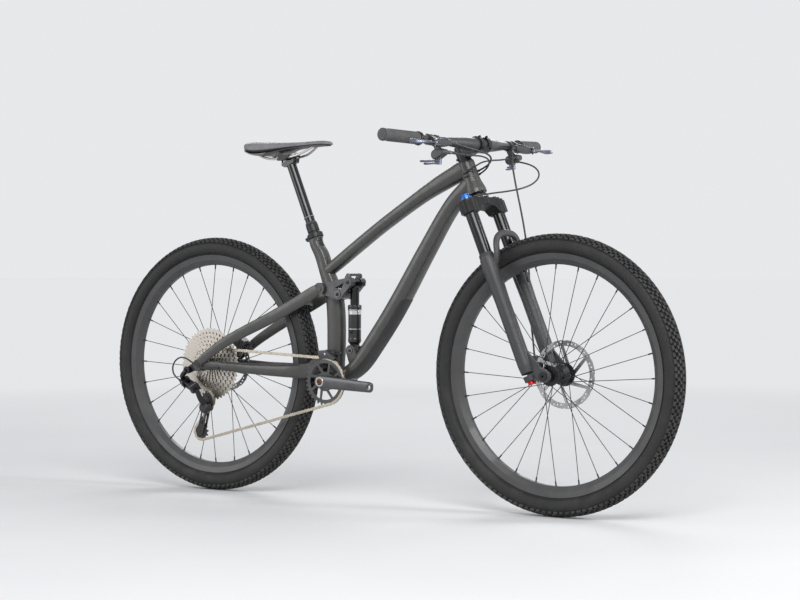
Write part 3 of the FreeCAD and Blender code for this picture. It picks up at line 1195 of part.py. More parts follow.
def build_chain():
    """Roller chain: pairs of inner plates between pairs of waisted outer plates."""
    path = chain_path()
    lengths = [0.0]
    for a, b in zip(path, path[1:]):
        lengths.append(lengths[-1] + (b - a).Length)
    count = 2 * round(lengths[-1] / mm("chain_pitch") / 2)
    pins, k = [], 0
    for i in range(count):
        want = lengths[-1] * i / count
        while lengths[k + 1] < want:
            k += 1
        share = (want - lengths[k]) / (lengths[k + 1] - lengths[k])
        spot = path[k] + (path[k + 1] - path[k]) * share
        pins.append(Vector(spot.x, chain_line(spot.x), spot.z))
    half = mm("chain_half_width")
    links = []
    for i in range(count):
        start, end = pins[i], pins[(i + 1) % count]
        along = (end - start).normalize()
        across = Vector(-along.z, 0, along.x).normalize()
        side = along.cross(across)
        middle = (start + end) * 0.5
        reach = (end - start).Length / 2
        if i % 2:
            outline = ((-reach - 3.8, 0), (-reach, 4), (reach, 4), (reach + 3.8, 0), (reach, -4), (-reach, -4))
            layers = ((0.75 - half, 0.65), (half - 1.4, 0.65))
        else:
            outline = ((-reach - 4, -2), (-reach - 4, 2), (-reach + 1, 4.2), (0, 2.7), (reach - 1, 4.2),
                       (reach + 4, 2), (reach + 4, -2), (reach - 1, -4.2), (0, -2.7), (-reach + 1, -4.2))
            layers = ((-half, 0.7), (half - 0.7, 0.7))
        for low, thick in layers:
            face = polygon_face([middle + along * a + across * b + side * low for a, b in outline])
            links.append(face.extrude(side * thick))
    print(f"chain: {count} links, pitch {lengths[-1] / count:.2f}")
    add_node("chain", Part.makeCompound(links))


LINK_HEADING = Vector(0.9, -0.34, -0.27).normalize()
SWING_HEADING = Vector(0, 0.62, -0.785).normalize()


def link_frame():
    """Frame of the derailleur's parallelogram: X along the links, Z along their pins."""
    return Placement(Vector(mm("link_plane_x"), mm("link_plane_y"), mm("link_plane_height")),
                     Rotation(LINK_HEADING, SWING_HEADING, LINK_HEADING.cross(SWING_HEADING), "XYZ"))


def flat_link(first, second, radius, low, high):
    """Link plate in the XY plane of the parallelogram frame."""
    plate = link_plate((first[0], -first[1]), (second[0], -second[1]), radius, radius, low, high)
    plate.rotate(Vector(0, 0, 0), Vector(1, 0, 0), 90)
    return plate


def build_derailleur():
    length, spread = mm("link_length"), mm("link_spread")
    frame = link_frame()
    pin = 2.5
    for label, offset in (("derailleur_outer_link", 0.0), ("derailleur_inner_link", spread)):
        plate = flat_link((0, offset), (length, offset), 5.2, -9.5, 9.5)
        holes = [Part.makeCylinder(pin + 0.1, 60, Vector(x, offset, -30)) for x in (0, length)]
        waist = block(Vector(length / 2, offset, 0), (20, 20, 10))
        add_node(label, one_solid(plate.cut(holes + [waist])), frame)
    cheeks, pins = [], []
    for x, outward in ((0.0, -1), (length, 1)):
        parts = []
        for low in (-13.5, 10.0):
            parts.append(flat_link((x, 0), (x, spread), 5.5, low, low + 3.5))
            parts.append(flat_link((x, spread / 2), (x + outward * 9, spread / 2), 5.5, low, low + 3.5))
        parts.append(block(Vector(x + outward * 10.5, spread / 2, 0), (6, spread + 4, 27)))
        parts.extend(Part.makeCylinder(pin, 27, Vector(x, y, -13.5)) for y in (0, spread))
        cheeks.append(parts[0].fuse(parts[1:]))
    base = cheeks[0]
    base.Placement = frame
    hanger_x, hanger_z = hanger_bolt()
    low_point = frame.multVec(Vector(-15, spread / 2, 0))
    outer = drum(hanger_x, hanger_z, 10.5, -91, mm("-rear_hub_width / 2 - 6.2"))
    arm = tube_through([Vector(hanger_x, -88, hanger_z), Vector((hanger_x + low_point.x) / 2 - 3, -88,
                                                              (hanger_z + low_point.z) / 2), low_point],
                       [(18, 13), (16, 12), (11, 12)], up=Y_AXIS)
    for place in (0, spread):
        relief = Part.makeCylinder(6.0, 19.9, Vector(0, place, -9.95))
        relief.Placement = frame
        arm = arm.cut(relief)
    base = one_solid(base.fuse([outer, arm]))
    knuckle = cheeks[1]
    knuckle.Placement = frame
    start = frame.multVec(Vector(length + 15.5, spread / 2, 0))
    pivot_x, pivot_z = mm("cage_pivot_x"), mm("cage_pivot_height")
    inner = cage_plane() - mm("cage_half_gap + cage_thickness")
    clutch = drum(pivot_x, pivot_z, 16, inner - 20.2, inner - 0.2)
    clutch = clutch.makeFillet(4, [e for e in clutch.Edges if e.BoundBox.YMax < inner - 15])
    neck = tube_through([start, Vector((start.x * 0.55 + pivot_x * 0.45), (start.y + inner - 12) / 2, pivot_z + 26),
                         Vector(pivot_x, inner - 11, pivot_z + 8)], [(11, 13), (15, 15), (17, 17)], up=Y_AXIS)
    bore = drum(pivot_x, pivot_z, 4.1, inner - 12, inner + 5)
    add_node("derailleur_knuckle", one_solid(knuckle.fuse([clutch, neck]).cut(bore)))
    build_cage(pivot_x, pivot_z, inner)
    return base


def hanger_bolt():
    """Where the derailleur bolts to its hanger."""
    return -mm("wheelbase / 2") - 38, AXLE_Z - 16


def cage_plane():
    return cog_plane(COGS.index(int(mm("chain_cog"))))


def build_cage(pivot_x, pivot_z, inner):
    plane = cage_plane()
    gap, thick = mm("cage_half_gap"), mm("cage_thickness")
    guide = (mm("guide_x"), mm("guide_height"))
    tension = (mm("tension_x"), mm("tension_height"))
    plates = []
    for low in (plane - gap - thick, plane + gap):
        plate = link_plate(guide, tension, 9.5, 11, low, low + thick)
        plate = plate.fuse(link_plate((pivot_x, pivot_z), guide, 12, 9, low, low + thick))
        middle = ((guide[0] + tension[0]) / 2 - 1, (guide[1] + tension[1]) / 2)
        window = link_plate((middle[0] + 5, middle[1] + 20), (middle[0] - 5, middle[1] - 20), 4.5, 4.5, low - 2, low + 4)
        plates.append(plate.cut(window))
    bolts = [drum(x, z, 3, plane - gap - thick - 1.5, plane + gap + thick + 0.6) for x, z in (guide, tension)]
    axle = drum(pivot_x, pivot_z, 4, inner - 11, inner + thick)
    add_node("derailleur_cage", one_solid(plates[0].fuse([plates[1]] + bolts + [axle])))
    for label, (x, z), turn in (("guide_pulley", guide, 0.0), ("tension_pulley", tension, 9.0)):
        half = mm("pulley_thickness / 2")
        teeth = int(mm("pulley_teeth"))
        wheel = toothed_face(teeth, -half, slim=False).extrude(Vector(0, 2 * half, 0))
        hub = drum(0, 0, 8, -gap + 0.3, gap - 0.3)
        wheel = one_solid(wheel.fuse(hub).cut(drum(0, 0, 3.1, -20, 20)))
        add_node(label, wheel, Placement(Vector(x, plane, z), Rotation(Y_AXIS, turn)))


# ---------------------------------------------------------------- rear suspension

def build_swingarm(base):
    """One-piece chainstays: a yoke at the main pivot, two stays and their dropouts."""
    pivot_x, pivot_z = mm("main_pivot_x"), mm("main_pivot_height")
    inner, width = mm("yoke_inner") + 0.3, mm("yoke_width") - 0.3
    hub = mm("rear_hub_width / 2")
    outer = hub + 6
    sides = []
    for side in (DRIVE, LEFT):
        low, high = sorted((side * inner, side * (inner + width)))
        boss = drum(pivot_x, pivot_z, 13.5, low, high)
        ear = link_plate((pivot_x, pivot_z), (-186, 372), 12.5, 20, low, high)
        path = [Vector(-178, side * (inner + width / 2), 370), Vector(-206, side * (inner + width / 2 + 0.7), 360),
                Vector(-260, side * 43.5, 357), Vector(-400, side * 53, 360), Vector(-500, side * 66, 366),
                Vector(-AXLE_X + 12, side * (hub + 2.6), AXLE_Z)]
        sizes = [(42, 12.5), (44, 12.5), (38, 15), (30, 15), (24, 12), (22, 6)]
        stay = tube_through(path, sizes)
        low, high = sorted((side * hub, side * outer))
        dropout = drum(-AXLE_X, AXLE_Z, 16, low, high)
        sides.extend([boss, ear, stay, dropout])
    bridge = block(Vector(-185, 0, 384), (16, 2 * inner + 2, 34))
    sides.append(bridge)
    shape = sides[0].fuse(sides[1:])
    inside = drum(-AXLE_X, AXLE_Z, 60, -hub, hub)
    wheel_room = drum(-AXLE_X, AXLE_Z, mm("tyre_radius") + 6, -33, 33)
    room = drum(-AXLE_X, AXLE_Z, 17.5, hub + 6, hub + 20).fuse(drum(-AXLE_X, AXLE_Z, 17.5, -hub - 20, -hub - 6))
    axle = drum(-AXLE_X, AXLE_Z, mm("axle_radius - 1.4"), -120, 120)
    pivot = drum(pivot_x, pivot_z, mm("pivot_radius"), -60, 60)
    shape = one_solid(less(shape, [inside, wheel_room, room, axle, pivot]))
    add_node("chainstay", shape)
    hanger_x, hanger_z = hanger_bolt()
    hanger = link_plate((-AXLE_X - 14, AXLE_Z - 4), (hanger_x, hanger_z), 11, 9.5, -hub - 5.9, -hub - 0.2)
    hanger = hanger.cut(drum(-AXLE_X, AXLE_Z, 16.05, -hub - 20, -hub + 20))
    add_node("derailleur_base", one_solid(base.fuse(hanger)))
    axle_sub = Sub("rear_axle", Placement(REAR_AXLE, Rotation()))
    axle_sub.pad(axle_sub.sketch("XZ_Plane", circles=[(0, 0, "axle_radius - 1.5")]), "rear_hub_width + 12.2", "Symmetric")


def build_seatstay():
    stay_x, stay_z = mm("stay_pivot_x"), mm("stay_pivot_height")
    hub = mm("rear_hub_width / 2")
    low_edge, high_edge = hub + 6.3, hub + 12
    ear_low, ear_high = ear_span()
    parts = []
    for side in (DRIVE, LEFT):
        low, high = sorted((side * low_edge, side * high_edge))
        dropout = drum(-AXLE_X, AXLE_Z, 15.5, low, high)
        path = [Vector(-AXLE_X + 6, side * (hub + 9), AXLE_Z + 8), Vector(-535, side * (hub + 6.5), 400),
                Vector(-470, side * (hub - 1), 440), Vector(-330, side * 49, 507),
                Vector(-235, side * 44, 553), Vector(-190, side * 42.2, 577), Vector(stay_x - 6, side * 42, stay_z - 2)]
        sizes = [(24, 6), (27, 9), (30, 12), (34, 13), (36, 13), (35, 9), (30, 8.4)]
        stay = tube_through(path, sizes)
        low, high = sorted((side * ear_low, side * ear_high))
        ear = drum(stay_x, stay_z, 17, low, high)
        parts.extend([dropout, stay, ear])
    bridge = tube_through([Vector(-258, -44, 541), Vector(-243, -24, 552), Vector(-238, 0, 556), Vector(-243, 24, 552),
                           Vector(-258, 44, 541)], [(26, 13)] * 5)
    pads = mm("rear_rotor_radius") - 2
    mounts = []
    for side, foot in ((LEFT, (-506, 409)), (DRIVE, (-548, 396))):
        x, z = caliper_post(pads, REAR_CALIPER_ANGLE, side)
        mounts.append(drum(x - AXLE_X, z + AXLE_Z, 6, mm("rear_rotor_plane") + 3.2, hub + 4))
        mounts.append(link_plate(foot, (x - AXLE_X, z + AXLE_Z), 8, 6, mm("rear_rotor_plane") + 13, hub + 4))
    shape = parts[0].fuse(parts[1:] + [bridge] + mounts)
    axle = drum(-AXLE_X, AXLE_Z, mm("axle_radius - 1.4"), -120, 120)
    cap_room = drum(-AXLE_X, AXLE_Z, 19, -hub - 6.3, hub + 6.3)
    shape = less(shape, [axle, cap_room, drum(-AXLE_X, AXLE_Z, mm("tyre_radius") + 6, -33, 33)])
    bolts = []
    for side in (DRIVE, LEFT):
        low, high = sorted((side * (high_edge - 0.5), side * (high_edge + 2)))
        bolts.append(drum(-AXLE_X, AXLE_Z, 9.5, low, high))
        low, high = sorted((side * (ear_high - 0.5), side * (ear_high + 1.8)))
        bolts.append(drum(stay_x, stay_z, 8, low, high))
    add_node("seatstay", one_solid(shape.fuse(bolts)))


def ear_span():
    """Sideways span of the seatstay ears, which lie over the rocker's outer faces."""
    low = mm("rocker_inner + rocker_thickness") + 0.3
    return low, low + 8


def build_rocker():
    """Twin-plate rocker with a window, bridged over the shock."""
    frame = (mm("rocker_x"), mm("rocker_height"))
    stay = (mm("stay_pivot_x"), mm("stay_pivot_height"))
    shock = (mm("shock_top_x"), mm("shock_top_height"))
    inner, thickness = mm("rocker_inner") + 0.3, mm("rocker_thickness") - 0.3
    parts = []
    for side in (DRIVE, LEFT):
        low, high = sorted((side * inner, side * (inner + thickness)))
        plate = link_plate(frame, stay, 15, 14, low, high).fuse(
            [link_plate(frame, shock, 15, 13, low, high), link_plate(stay, shock, 14, 13, low, high)])
        window = outline_plate(((-115, 592), (-85, 606), (-94, 588)), low - 2, high + 2)
        tip_low, tip_high = sorted((side * 13, side * (inner + thickness)))
        tip = drum(shock[0], shock[1], 13, tip_low, tip_high)
        parts.append(one_solid(plate.cut(window).fuse(tip)))
    bridge = outline_plate(((shock[0] - 10, shock[1] + 25), (shock[0] - 12, shock[1] + 18), (shock[0] + 4, shock[1] + 17),
                            (shock[0] + 4, shock[1] + 24)), -inner - 2, inner + 2)
    risers = [link_plate((shock[0] - 3, shock[1] + 17), (shock[0] - 8, shock[1]), 8, 12,
                         *sorted((side * inner, side * (inner + 6)))) for side in (DRIVE, LEFT)]
    shape = parts[0].fuse([parts[1], bridge] + risers)
    hole = drum(frame[0], frame[1], mm("pivot_radius"), -60, 60)
    add_node("rocker_link", one_solid(shape.cut(hole)))


def shock_frame():
    """Frame at the shock's lower eyelet with Z along the shock."""
    low = Vector(mm("shock_low_x"), 0, mm("shock_low_height"))
    high = Vector(mm("shock_top_x"), 0, mm("shock_top_height"))
    return Placement(low, Rotation(Vector(0, 0, 1), high - low)), (high - low).Length


def build_shock():
    place, eye = shock_frame()
    gap = mm("running_gap")
    can = [("shock_shaft_radius + running_gap", "14 + shock_can_length"), ("shock_can_radius", "14 + shock_can_length"),
           ("shock_can_radius + 0.8", "10 + shock_can_length"), ("shock_can_radius + 0.8", "shock_can_length"),
           ("shock_can_radius - 0.6", "shock_can_length - 2"), ("shock_can_radius - 0.6", 34), ("shock_can_radius", 32),
           ("shock_can_radius", 24), ("shock_can_radius - 6", 16), (0, 16), (0, 30),
           ("shock_shaft_radius + running_gap", 30)]
    body = turned("shock_body", can, place, "XZ_Plane")
    eyelet = body.sketch("XZ_Plane", circles=[(0, 0, 10.5)])
    body.pad(eyelet, 22, "Symmetric")
    web = body.sketch("XZ_Plane", [[(-9, 3), (9, 3), (10, 20), (-10, 20)]])
    body.pad(web, 18, "Symmetric")
    body.cut(body.sketch("XZ_Plane", circles=[(0, 0, "pivot_radius - 1.9")]), 60, "Symmetric")
    low = mm("shock_can_length") - 26
    shaft = Part.makeCylinder(mm("shock_shaft_radius"), eye - 14 - low, Vector(0, 0, low))
    head = Part.makeCylinder(mm("shock_shaft_radius") + 2.5, 7, Vector(0, 0, eye - 22))
    eyelet = drum(0, eye, 10.5, -11, 11).fuse(block(Vector(0, 0, eye - 10), (16, 20, 12)))
    pin = drum(0, eye, 4.9, -12.6, 12.6)
    nose = block(Vector(20, 0, eye - 4), (22, 16, 12)).fuse(Part.makeCylinder(6, 10, Vector(29, 0, eye - 9)))
    seal = Part.makeTorus(mm("shock_shaft_radius"), 0.9, Vector(0, 0, eye - 22))
    shape = one_solid(shaft.fuse([head, eyelet, pin, nose, seal]))
    add_node("shock_shaft", shape, place)


# ---------------------------------------------------------------- hoses and cables

def build_lines():
    radius = mm("hose_radius")
    cable = radius - 0.25
    brake = [(352.3, -145.8, 970.8), (366, -116, 962), (378, -82, 955), (386, -46, 949), (384, -12, 939),
             (364, 14, 925), (338, 24, 913), (314.2, 24, 903.2)]
    shift = [(357.6, -159.6, 945.1), (366, -128, 941), (375, -92, 940), (381, -54, 940), (380, -18, 933),
             (364, 8, 920), (341, 23, 905), (318, 24, 894)]
    dropper = [(358.3, 155, 945), (352, 122, 940), (347, 88, 936), (347, 54, 934), (350, 21, 931),
               (350, -9, 926), (336.4, -26, 912.4), (314.2, -26, 903.2)]
    lockout = [(350.8, 156, 935.2), (388, 152, 930), (430, 142, 915), (455, 118, 892), (458, 82, 870),
               (446, 42, 856), (420, 8, 848), (389, -24, 843), (352, -50, 834.8)]
    add_node("control_lines", Part.makeCompound([
        line_run("rear brake hose", brake, radius), line_run("shift housing", shift, cable),
        line_run("dropper housing", dropper, cable), line_run("lockout housing", lockout, cable)]))
    front = [(353, 144.5, 970.6), (362, 126, 932), (378, 112, 890), (394, 102, 846), (408, 97, 800),
             (420, 94, 752), (427, 96, 702), (431.6, 98, 650), (434.1, 98, 597), (438.4, 92, 544.4),
             (448.4, 82, 494.4), (460.8, 72, 448.7), (469.5, 63, 406.9), (484, 55.85, 380.9)]
    add_node("front_brake_hose", line_run("front brake hose", front, radius))
    loop = [(-505, -73.5, 360), (-540, -90, 352), (-577, -98, 372), (-612, -101, 392), (-642, -100, 384),
            (-664, -93, 360), (-666, -82, 331), (-641.6, -76.1, 317.7)]
    add_node("derailleur_housing", line_run("derailleur housing", loop, cable))


def finish():
    """Recompute, check every object and write one file for each sub-part."""
    doc.recompute()
    for item in doc.Objects:
        if {"Invalid", "Error"} & set(item.State):
            raise RuntimeError(f"{item.Label} failed: {item.State}")
    os.makedirs("parts", exist_ok=True)
    for node in nodes:
        shape = node.Shape
        if shape.isNull() or not shape.isValid():
            raise RuntimeError(f"{node.Label} has no valid shape")
        shape.exportStep(f"parts/{node.Label}.step")
    print(f"{len(nodes)} nodes written")


build_head_tube()
build_frame_tubes()
add_node("frame_bearings_and_axles", Part.makeCompound(build_bearings() + build_pivot_axles()))
build_seat_parts()
doc.recompute()
build_saddle()
build_crown()
build_stanchions()
build_lowers()
place_caliper("front_caliper", FRONT_AXLE, HEAD_TURN, FRONT_CALIPER_ANGLE, mm("rotor_plane"),
              mm("front_rotor_radius") - 2)
place_caliper("rear_caliper", REAR_AXLE, Rotation(), REAR_CALIPER_ANGLE, mm("rear_rotor_plane"),
              mm("rear_rotor_radius") - 2)
build_cockpit()
build_handlebar()
add_node("bar_control_bodies", Part.makeCompound(build_brake_controls() + build_shift_controls()))
build_wheels()
build_cassette()
build_chainring()
build_cranks()
build_chain()
build_swingarm(build_derailleur())
build_seatstay()
build_rocker()
build_shock()
build_lines()
finish()
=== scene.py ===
"""Studio scene of a full-suspension mountain bike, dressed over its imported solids.

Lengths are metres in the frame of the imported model: X forward, Y to the rider's
left, Z up, with the origin on the ground midway between the axles.
"""

import functools
import logging
import math
from dataclasses import dataclass
from enum import Enum
from typing import Callable, Sequence

import bmesh
import bpy
from mathutils import Matrix, Vector


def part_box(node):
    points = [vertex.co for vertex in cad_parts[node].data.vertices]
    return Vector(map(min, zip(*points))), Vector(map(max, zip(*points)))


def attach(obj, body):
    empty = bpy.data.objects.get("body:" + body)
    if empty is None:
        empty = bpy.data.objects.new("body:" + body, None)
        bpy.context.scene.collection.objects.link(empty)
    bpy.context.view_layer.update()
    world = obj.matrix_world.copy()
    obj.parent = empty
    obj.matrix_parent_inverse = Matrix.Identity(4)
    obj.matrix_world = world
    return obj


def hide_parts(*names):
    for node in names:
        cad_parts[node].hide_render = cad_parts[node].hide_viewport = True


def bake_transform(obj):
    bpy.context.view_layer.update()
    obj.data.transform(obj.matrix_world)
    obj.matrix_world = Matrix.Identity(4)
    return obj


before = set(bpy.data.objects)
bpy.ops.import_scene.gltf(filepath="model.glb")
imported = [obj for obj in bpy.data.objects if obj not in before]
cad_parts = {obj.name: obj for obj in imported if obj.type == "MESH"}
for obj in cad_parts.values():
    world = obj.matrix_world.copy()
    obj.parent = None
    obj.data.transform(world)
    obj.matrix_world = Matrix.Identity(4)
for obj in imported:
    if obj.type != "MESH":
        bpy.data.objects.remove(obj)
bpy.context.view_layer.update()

LOG = logging.getLogger("mountain_bike")
TAU = 2 * math.pi
Node, Socket, Tree, Object = bpy.types.Node, bpy.types.NodeSocket, bpy.types.NodeTree, bpy.types.Object
Colour = tuple[float, float, float]
Point = tuple[float, float, float]
Spot = Point | Vector
BoltPlace = tuple[Spot, Spot, float, float]
DUST_TONE: Colour = (0.36, 0.33, 0.29)
DUST_ROUGHNESS = 0.4
MARK_DEPTH, MARK_TONE = 1.6, 0.25
THREAD_DEPTH = 2.0
WELD_DISTANCE = 1e-6
THINNEST = 1e-5


class Side(Enum):
    """Side of the bike; the value is the sign of Y."""

    DRIVE = -1
    LEFT = 1

    @property
    def label(self) -> str:
        """The side's word in the names of pieces."""
        return self.name.lower()

    @property
    def out(self) -> Vector:
        """Direction outwards on this side."""
        return Vector((0, self.value, 0))


class ZoneShape(Enum):
    """How a zone of a finish is bounded."""

    BAND = "band along a direction"
    RING = "ring about a sideways axis"


# ---------------------------------------------------------------- node wiring


class Wiring:
    """Places nodes in a tree and joins them."""

    def __init__(self, tree: Tree) -> None:
        """Keep the tree that nodes go into."""
        self.tree = tree

    def put(self, kind: str, inputs: dict | None = None, **settings: object) -> Node:
        """Add a node.

        Args:
            kind: Blender's type name of the node.
            inputs: Value or output socket for each input, by name or index.
            settings: Properties of the node itself.

        Returns:
            The node.
        """
        node = self.tree.nodes.new(kind)
        for key, value in settings.items():
            setattr(node, key, value)
        for key, value in (inputs or {}).items():
            socket = node.inputs[key]
            if isinstance(value, Socket):
                self.tree.links.new(value, socket)
            else:
                socket.default_value = value
        return node

    def math(self, operation: str, *values: object, clamp: bool = False) -> Socket:
        """Result of a shader Math node on up to three values or sockets."""
        node = self.put("ShaderNodeMath", dict(enumerate(values)), operation=operation, use_clamp=clamp)
        return node.outputs[0]

    def vector(self, operation: str, *values: object, out: int = 0) -> Socket:
        """Result of a Vector Math node; out picks its vector or its value."""
        node = self.put("ShaderNodeVectorMath", dict(enumerate(values)), operation=operation)
        return node.outputs[out]

    def blend(self, share: object, first: object, second: object) -> Socket:
        """Colour mixed from two others by a share."""
        node = self.put("ShaderNodeMix", {0: share, 6: first, 7: second}, data_type="RGBA")
        return node.outputs[2]

    def ramp(self, value: object, low: float, high: float, to_low: float = 0.0,
             to_high: float = 1.0) -> Socket:
        """Value mapped from one range to another, held at the ends.

        Args:
            value: The value.
            low: Start of its range.
            high: End of its range.
            to_low: What the start becomes.
            to_high: What the end becomes.

        Returns:
            The mapped value.
        """
        node = self.put("ShaderNodeMapRange", {"Value": value, "From Min": low, "From Max": high,
                                               "To Min": to_low, "To Max": to_high})
        return node.outputs[0]

    def noise(self, scale: object, detail: float, **inputs: object) -> Socket:
        """Noise over the piece's own coordinates."""
        node = self.put("ShaderNodeTexNoise", {"Vector": self.place(), "Scale": scale, "Detail": detail, **inputs})
        return node.outputs["Fac"]

    def place(self) -> Socket:
        """Place on the piece in metres."""
        return self.put("ShaderNodeTexCoord").outputs["Object"]

    def offset(self, centre: Socket) -> Socket:
        """Place on the piece, measured from a centre."""
        return self.vector("SUBTRACT", self.place(), centre)

    def reach(self, centre: Socket) -> Socket:
        """Distance from a sideways axis through a centre."""
        return self.vector("LENGTH", self.vector("MULTIPLY", self.offset(centre), (1.0, 0.0, 1.0)), out=1)

    def between(self, value: Socket, start: Node) -> Socket:
        """One where a value lies between the marks Low and High of a group's input node."""
        return self.math("MULTIPLY", self.math("GREATER_THAN", value, start.outputs["Low"]),
                         self.math("LESS_THAN", value, start.outputs["High"]))

    def shared(self, tree: Tree, inputs: dict) -> Node:
        """Add a shared group with its inputs set."""
        return self.put("ShaderNodeGroup", inputs, node_tree=tree)


Sockets = dict[str, object]
Inside = Callable[[Wiring, Node], dict[str, Socket]]


def effect(name: str, inputs: Sockets) -> Callable[[Inside], Callable[[], Tree]]:
    """Decorator that makes a shader node group, on first use, from the function that wires its inside.

    Args:
        name: Name of the group.
        inputs: Name and default of each input; a default of three numbers makes a vector input.

    Returns:
        The decorator of a function that takes the wiring and the input node and gives the outputs by name.
    """

    def decorate(inside: Inside) -> Callable[[], Tree]:
        """Wrap one wiring function.

        Args:
            inside: The function.

        Returns:
            A function that gives the group.
        """

        @functools.cache
        @functools.wraps(inside)
        def build() -> Tree:
            """Make the group and join its outputs.

            Returns:
                The group.
            """
            tree = bpy.data.node_groups.new(name, "ShaderNodeTree")
            for label, default in inputs.items():
                kind = "Vector" if isinstance(default, tuple) else "Float"
                socket = tree.interface.new_socket(label, in_out="INPUT", socket_type="NodeSocket" + kind)
                socket.default_value = default
            results = inside(Wiring(tree), tree.nodes.new("NodeGroupInput"))
            for label in results:
                kind = "Vector" if label == "Normal" else "Float"
                tree.interface.new_socket(label, in_out="OUTPUT", socket_type="NodeSocket" + kind)
            end = tree.nodes.new("NodeGroupOutput")
            for label, socket in results.items():
                tree.links.new(socket, end.inputs[label])
            return tree

        return build

    return decorate


class Effects:
    """Shader node groups that several finishes share."""

    @staticmethod
    @effect("surface_grain", {"Size": 0.001, "Speckle": 0.4})
    def grain(wiring: Wiring, start: Node) -> Sockets:
        """Cloudy tone and fine surface grain of a moulded, cast or painted part.

        Args:
            wiring: Wiring of the group.
            start: Input node of the group.

        Returns:
            The outputs by name.
        """
        rate = wiring.math("DIVIDE", 1.0, start.outputs["Size"])
        fine = wiring.noise(rate, 3.0, Roughness=0.6)
        coarse = wiring.noise(wiring.math("MULTIPLY", rate, 0.035), 3.0)
        pores = wiring.put("ShaderNodeTexVoronoi", {"Vector": wiring.place(),
                                                    "Scale": wiring.math("MULTIPLY", rate, 0.6)})
        mixed = wiring.math("MULTIPLY_ADD", wiring.ramp(fine, 0.3, 0.7), start.outputs["Speckle"],
                            wiring.ramp(coarse, 0.36, 0.66))
        return {"Tone": wiring.math("MULTIPLY", mixed, 0.6, clamp=True),
                "Height": wiring.math("ADD", fine, wiring.math("MULTIPLY", pores.outputs["Distance"], 0.5))}

    @staticmethod
    @effect("edge_wear", {"Radius": 0.0006, "Amount": 0.5})
    def wear(wiring: Wiring, start: Node) -> Sockets:
        """Edges where handling has rubbed a finish: where a rounded normal leaves the true one.

        Args:
            wiring: Wiring of the group.
            start: Input node of the group.

        Returns:
            The outputs by name.
        """
        soft = wiring.put("ShaderNodeBevel", {"Radius": start.outputs["Radius"]}, samples=4).outputs[0]
        flat = wiring.put("ShaderNodeNewGeometry").outputs["Normal"]
        turn = wiring.math("SUBTRACT", 1.0, wiring.vector("DOT_PRODUCT", soft, flat, out=1))
        patch = wiring.noise(140.0, 3.0)
        broken = wiring.math("MULTIPLY", wiring.ramp(turn, 0.02, 0.25), wiring.ramp(patch, 0.4, 0.62, 0.15, 1.0))
        return {"Mask": wiring.math("MULTIPLY", broken, start.outputs["Amount"], clamp=True), "Normal": soft}

    @staticmethod
    @effect("settled_dust", {"Amount": 0.1})
    def dust(wiring: Wiring, start: Node) -> Sockets:
        """Dry dust that settles low on the bike and on faces that look up.

        Args:
            wiring: Wiring of the group.
            start: Input node of the group.

        Returns:
            The outputs by name.
        """
        cloud = wiring.noise(26.0, 6.0, Roughness=0.65)
        normal = wiring.put("ShaderNodeNewGeometry").outputs["Normal"]
        facing = wiring.put("ShaderNodeSeparateXYZ", {0: normal}).outputs["Z"]
        height = wiring.put("ShaderNodeSeparateXYZ", {0: wiring.place()}).outputs["Z"]
        lie = wiring.math("ADD", wiring.ramp(facing, -0.2, 1.0), wiring.ramp(height, 0.0, 0.5, 0.55, 0.1))
        mask = wiring.math("MULTIPLY", lie, wiring.ramp(cloud, 0.42, 0.72))
        return {"Mask": wiring.math("MULTIPLY", mask, start.outputs["Amount"], clamp=True)}

    @staticmethod
    @effect("turned_marks", {"Centre": (0, 0, 0), "Spacing": 0.0006})
    def turned(wiring: Wiring, start: Node) -> Sockets:
        """Fine rings that a lathe or a brake pad leaves about a sideways axis.

        Args:
            wiring: Wiring of the group.
            start: Input node of the group.

        Returns:
            The outputs by name.
        """
        rate = wiring.math("DIVIDE", wiring.reach(start.outputs["Centre"]), start.outputs["Spacing"])
        rings = wiring.put("ShaderNodeTexNoise", {"W": rate, "Scale": 1.0, "Detail": 4.0},
                           noise_dimensions="1D").outputs["Fac"]
        return {"Tone": wiring.ramp(rings, 0.35, 0.65), "Height": rings}

    @staticmethod
    @effect("casing_threads", {"Centre": (0, 0, 0), "Count": 900.0})
    def cord_threads(wiring: Wiring, start: Node) -> Sockets:
        """Casing threads that run slantwise over a tyre's sidewall, with two mould lines.

        Args:
            wiring: Wiring of the group.
            start: Input node of the group.

        Returns:
            The outputs by name.
        """
        part = wiring.put("ShaderNodeSeparateXYZ", {0: wiring.offset(start.outputs["Centre"])})
        angle = wiring.math("ARCTAN2", part.outputs["Z"], part.outputs["X"])
        flat = wiring.reach(start.outputs["Centre"])
        slant = wiring.math("MULTIPLY_ADD", flat, 9.0, angle)
        threads = wiring.math("SINE", wiring.math("MULTIPLY", slant, start.outputs["Count"]))
        groove = wiring.math("SINE", wiring.math("MULTIPLY", flat, 2400.0))
        line = wiring.ramp(groove, 0.86, 1.0, 0.0, 1.2)
        return {"Height": wiring.math("SUBTRACT", wiring.math("MULTIPLY", threads, 0.25), line)}

    @staticmethod
    @effect("band_mask", {"Origin": (0, 0, 0), "Direction": (0, 0, 1), "Low": 0.0, "High": 1.0})
    def band(wiring: Wiring, start: Node) -> Sockets:
        """Mask between two planes across a direction.

        Args:
            wiring: Wiring of the group.
            start: Input node of the group.

        Returns:
            The outputs by name.
        """
        offset = wiring.offset(start.outputs["Origin"])
        along = wiring.vector("DOT_PRODUCT", offset, start.outputs["Direction"], out=1)
        return {"Mask": wiring.between(along, start)}

    @staticmethod
    @effect("ring_mask", {"Origin": (0, 0, 0), "Low": 0.0, "High": 1.0})
    def ring(wiring: Wiring, start: Node) -> Sockets:
        """Mask between two radii about an axis that runs sideways."""
        return {"Mask": wiring.between(wiring.reach(start.outputs["Origin"]), start)}


# ---------------------------------------------------------------- finishes


